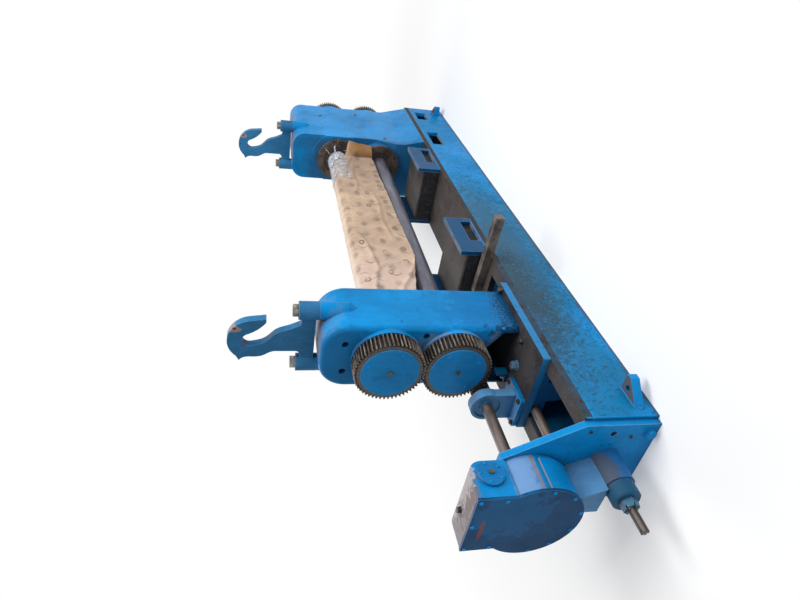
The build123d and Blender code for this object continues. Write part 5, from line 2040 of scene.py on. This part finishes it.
    def case_and_drive(self) -> tuple[tuple[str, Finish], ...]:
        """Gives the finishes of the gear case's, the arbors' and the drive housing's nodes.

        Returns:
            Node names, with spaces between, each with its finish.
        """
        foot = {"dust": 0.75, "dust_colour": tone(142, 142, 166), "cover": 0.9, "colour": tone(78, 130, 174)}
        nut = {"colour": tone(62, 108, 138), "oil": 0.35, "chips": 0.6, "edge_colour": BARE}
        cap = {"colour": tone(22, 128, 190), "oil": 0.3, "chips": 0.4, "edge": 0.9, "gloss": 0.4}
        # pale violet: partly the steel's own tone, partly painted reflection of the surroundings
        pale_violet_and_painted_reflection = {"colour": tone(128, 128, 142), "dark": tone(70, 71, 84), "metal": 0.5, "dust": 0.3}
        shaft = TurnedSteel("brown_shaft_steel", colour=tone(122, 110, 103), dark=tone(66, 59, 55), roughness=0.42)
        seats = GreasyPlate("black_flange_steel", colour=tone(40, 34, 33), scuff=tone(86, 74, 68), dust=0.2)
        return (
            ("gear_case", self.case_paint()),
            ("case_cover", self.cover_paint()),
            ("worm_cap", Enamel("azure_cap_enamel", oil=0.35, chips=0.3, edge=0.5, colour=tone(12, 112, 172))),
            ("case_foot", Enamel("dusty_foot_enamel", oil=0.2, **foot)),
            ("crank_boss", self.boss_paint()),
            ("crank_nut", Enamel("pale_nut_enamel", **nut)),
            ("lead_screw", self.screw_steel()),
            ("guide_bar adjust_shaft input_shaft", shaft),
            ("outboard_hook drive_hook", self.hook_paint()),
            ("outboard_hook_nuts drive_hook_nuts", STEEL_BOLTS),
            ("drive_housing", self.drive_paint()),
            ("inner_bearing_flanges outer_bearing_flanges", seats),
            ("side_bearing_cap", Enamel("azure_side_cap_enamel", dust=0.6, oil=0.3, chips=0.2)),
            ("upper_gear_cap lower_gear_cap", Enamel("azure_gear_cap_enamel", **cap)),
            ("upper_arbor lower_arbor", TurnedSteel("violet_arbor_steel", roughness=0.34, **pale_violet_and_painted_reflection)),
            ("pinion", self.gear("pinion", 0.042)),
            ("input_gear", self.gear("input_gear", 0.099)),
            *((node, self.gear(node)) for node in ("upper_ring_gear", "lower_ring_gear")),
            *((node, self.gear(node)) for node in ("upper_drive_gear", "lower_drive_gear")),
        )

    def build(self) -> None:
        """Puts each finish on its nodes."""
        for names, finish in self.bed_and_carriage() + self.case_and_drive():
            for name in names.split():
                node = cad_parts[name]
                node.data.materials.clear()
                node.data.materials.append(finish.material())
                log.info("node %s: %s", name, finish.name)


@dataclass(frozen=True)
class Lamp:
    """A plain area lamp: where it stands, what it faces, its size and its power."""

    name: str
    place: Point
    target: Point
    length: float
    width: float
    power: float

    def hang(self) -> None:
        """Makes the lamp."""
        data = bpy.data.lights.new(self.name, "AREA")
        data.shape = "RECTANGLE"
        data.size = self.length
        data.size_y = self.width
        data.energy = self.power
        lamp = bpy.data.objects.new(self.name, data)
        bpy.context.scene.collection.objects.link(lamp)
        lamp.location = self.place
        lamp.rotation_mode = "QUATERNION"
        lamp.rotation_quaternion = (Vector(self.target) - Vector(self.place)).to_track_quat("-Z", "Y")


@dataclass
class Studio:
    """The floor, the lamps, the world and the camera."""

    eye: Point = (-3.2096, -1.7212, 1.560)
    heading: float = 35.538
    pitch: float = 13.815
    roll: float = 1.1519
    lens: float = 25.96
    floor_reach: float = 45.0
    sky: float = 0.30
    lamps: tuple[Lamp, ...] = (
        Lamp("overhead_lamp", (-0.4, -2.4, 5.4), (-0.2, 0.0, 0.8), 4.5, 1.8, 250.0),
        Lamp("operator_side_lamp", (-0.6, -7.0, 4.2), (-0.4, 0.0, 0.7), 5.0, 4.0, 260.0),
        Lamp("crank_side_lamp", (-7.5, -0.5, 3.0), (-1.2, 0.0, 0.6), 3.0, 3.0, 42.0),
        Lamp("back_lamp", (1.5, 6.0, 5.0), (0.0, 0.0, 0.7), 4.5, 2.5, 150.0),
    )

    def camera(self) -> None:
        """Places the camera on its side, as the photograph was taken."""
        yaw, pitch, roll = radians(self.heading), radians(self.pitch), radians(self.roll)
        ahead = Vector((cos(yaw) * cos(pitch), sin(yaw) * cos(pitch), -sin(pitch)))
        level = Vector((sin(yaw), -cos(yaw), 0.0))
        above = Vector((cos(yaw) * sin(pitch), sin(yaw) * sin(pitch), cos(pitch)))
        right = level * cos(roll) + above * sin(roll)
        down = level * sin(roll) - above * cos(roll)
        data = bpy.data.cameras.new("viewpoint")
        data.sensor_width = 36.0
        data.lens = self.lens
        data.clip_end = 200.0
        view = bpy.data.objects.new("viewpoint", data)
        bpy.context.scene.collection.objects.link(view)
        turn = Matrix((down, right, -ahead)).transposed().to_4x4()
        view.matrix_world = Matrix.Translation(Vector(self.eye)) @ turn
        bpy.context.scene.camera = view

    def floor(self) -> None:
        """Lays the pale floor."""
        data = bpy.data.meshes.new("studio_floor")
        reach = self.floor_reach
        corners = [(-reach, -reach, 0.0), (reach, -reach, 0.0), (reach, reach, 0.0), (-reach, reach, 0.0)]
        data.from_pydata(corners, [], [(0, 1, 2, 3)])
        data.materials.append(PaleFloor("pale_floor").material())
        floor = bpy.data.objects.new("studio_floor", data)
        bpy.context.scene.collection.objects.link(floor)

    def world(self) -> None:
        """Makes the world: soft light on the object, white behind it and in its reflections."""
        world = bpy.data.worlds.new("studio_world")
        bpy.context.scene.world = world
        world.use_nodes = True
        graph = Graph(world.node_tree)
        graph.tree.nodes.clear()
        seen = graph.seen_by("Is Camera Ray", "Is Glossy Ray", "Is Transmission Ray")
        back = graph.out("Background", Color=WHITE, Strength=graph.lerp(seen, self.sky, 1.0))
        graph.node("OutputWorld", back)

    def build(self) -> None:
        """Makes the studio."""
        self.camera()
        self.floor()
        self.world()
        for lamp in self.lamps:
            lamp.hang()
        bpy.context.scene.view_settings.view_transform = "Standard"


def main() -> None:
    """Builds the studio and dresses the object."""
    dressers = (CrankEnd(), Carriage(), Adjusters(), DriveHead(), Welds(), PaperSheet(), FilmWrap())
    for assembly in (Studio(), PaintShop(), *dressers):
        assembly.build()


if __name__ == "__main__":
    main()
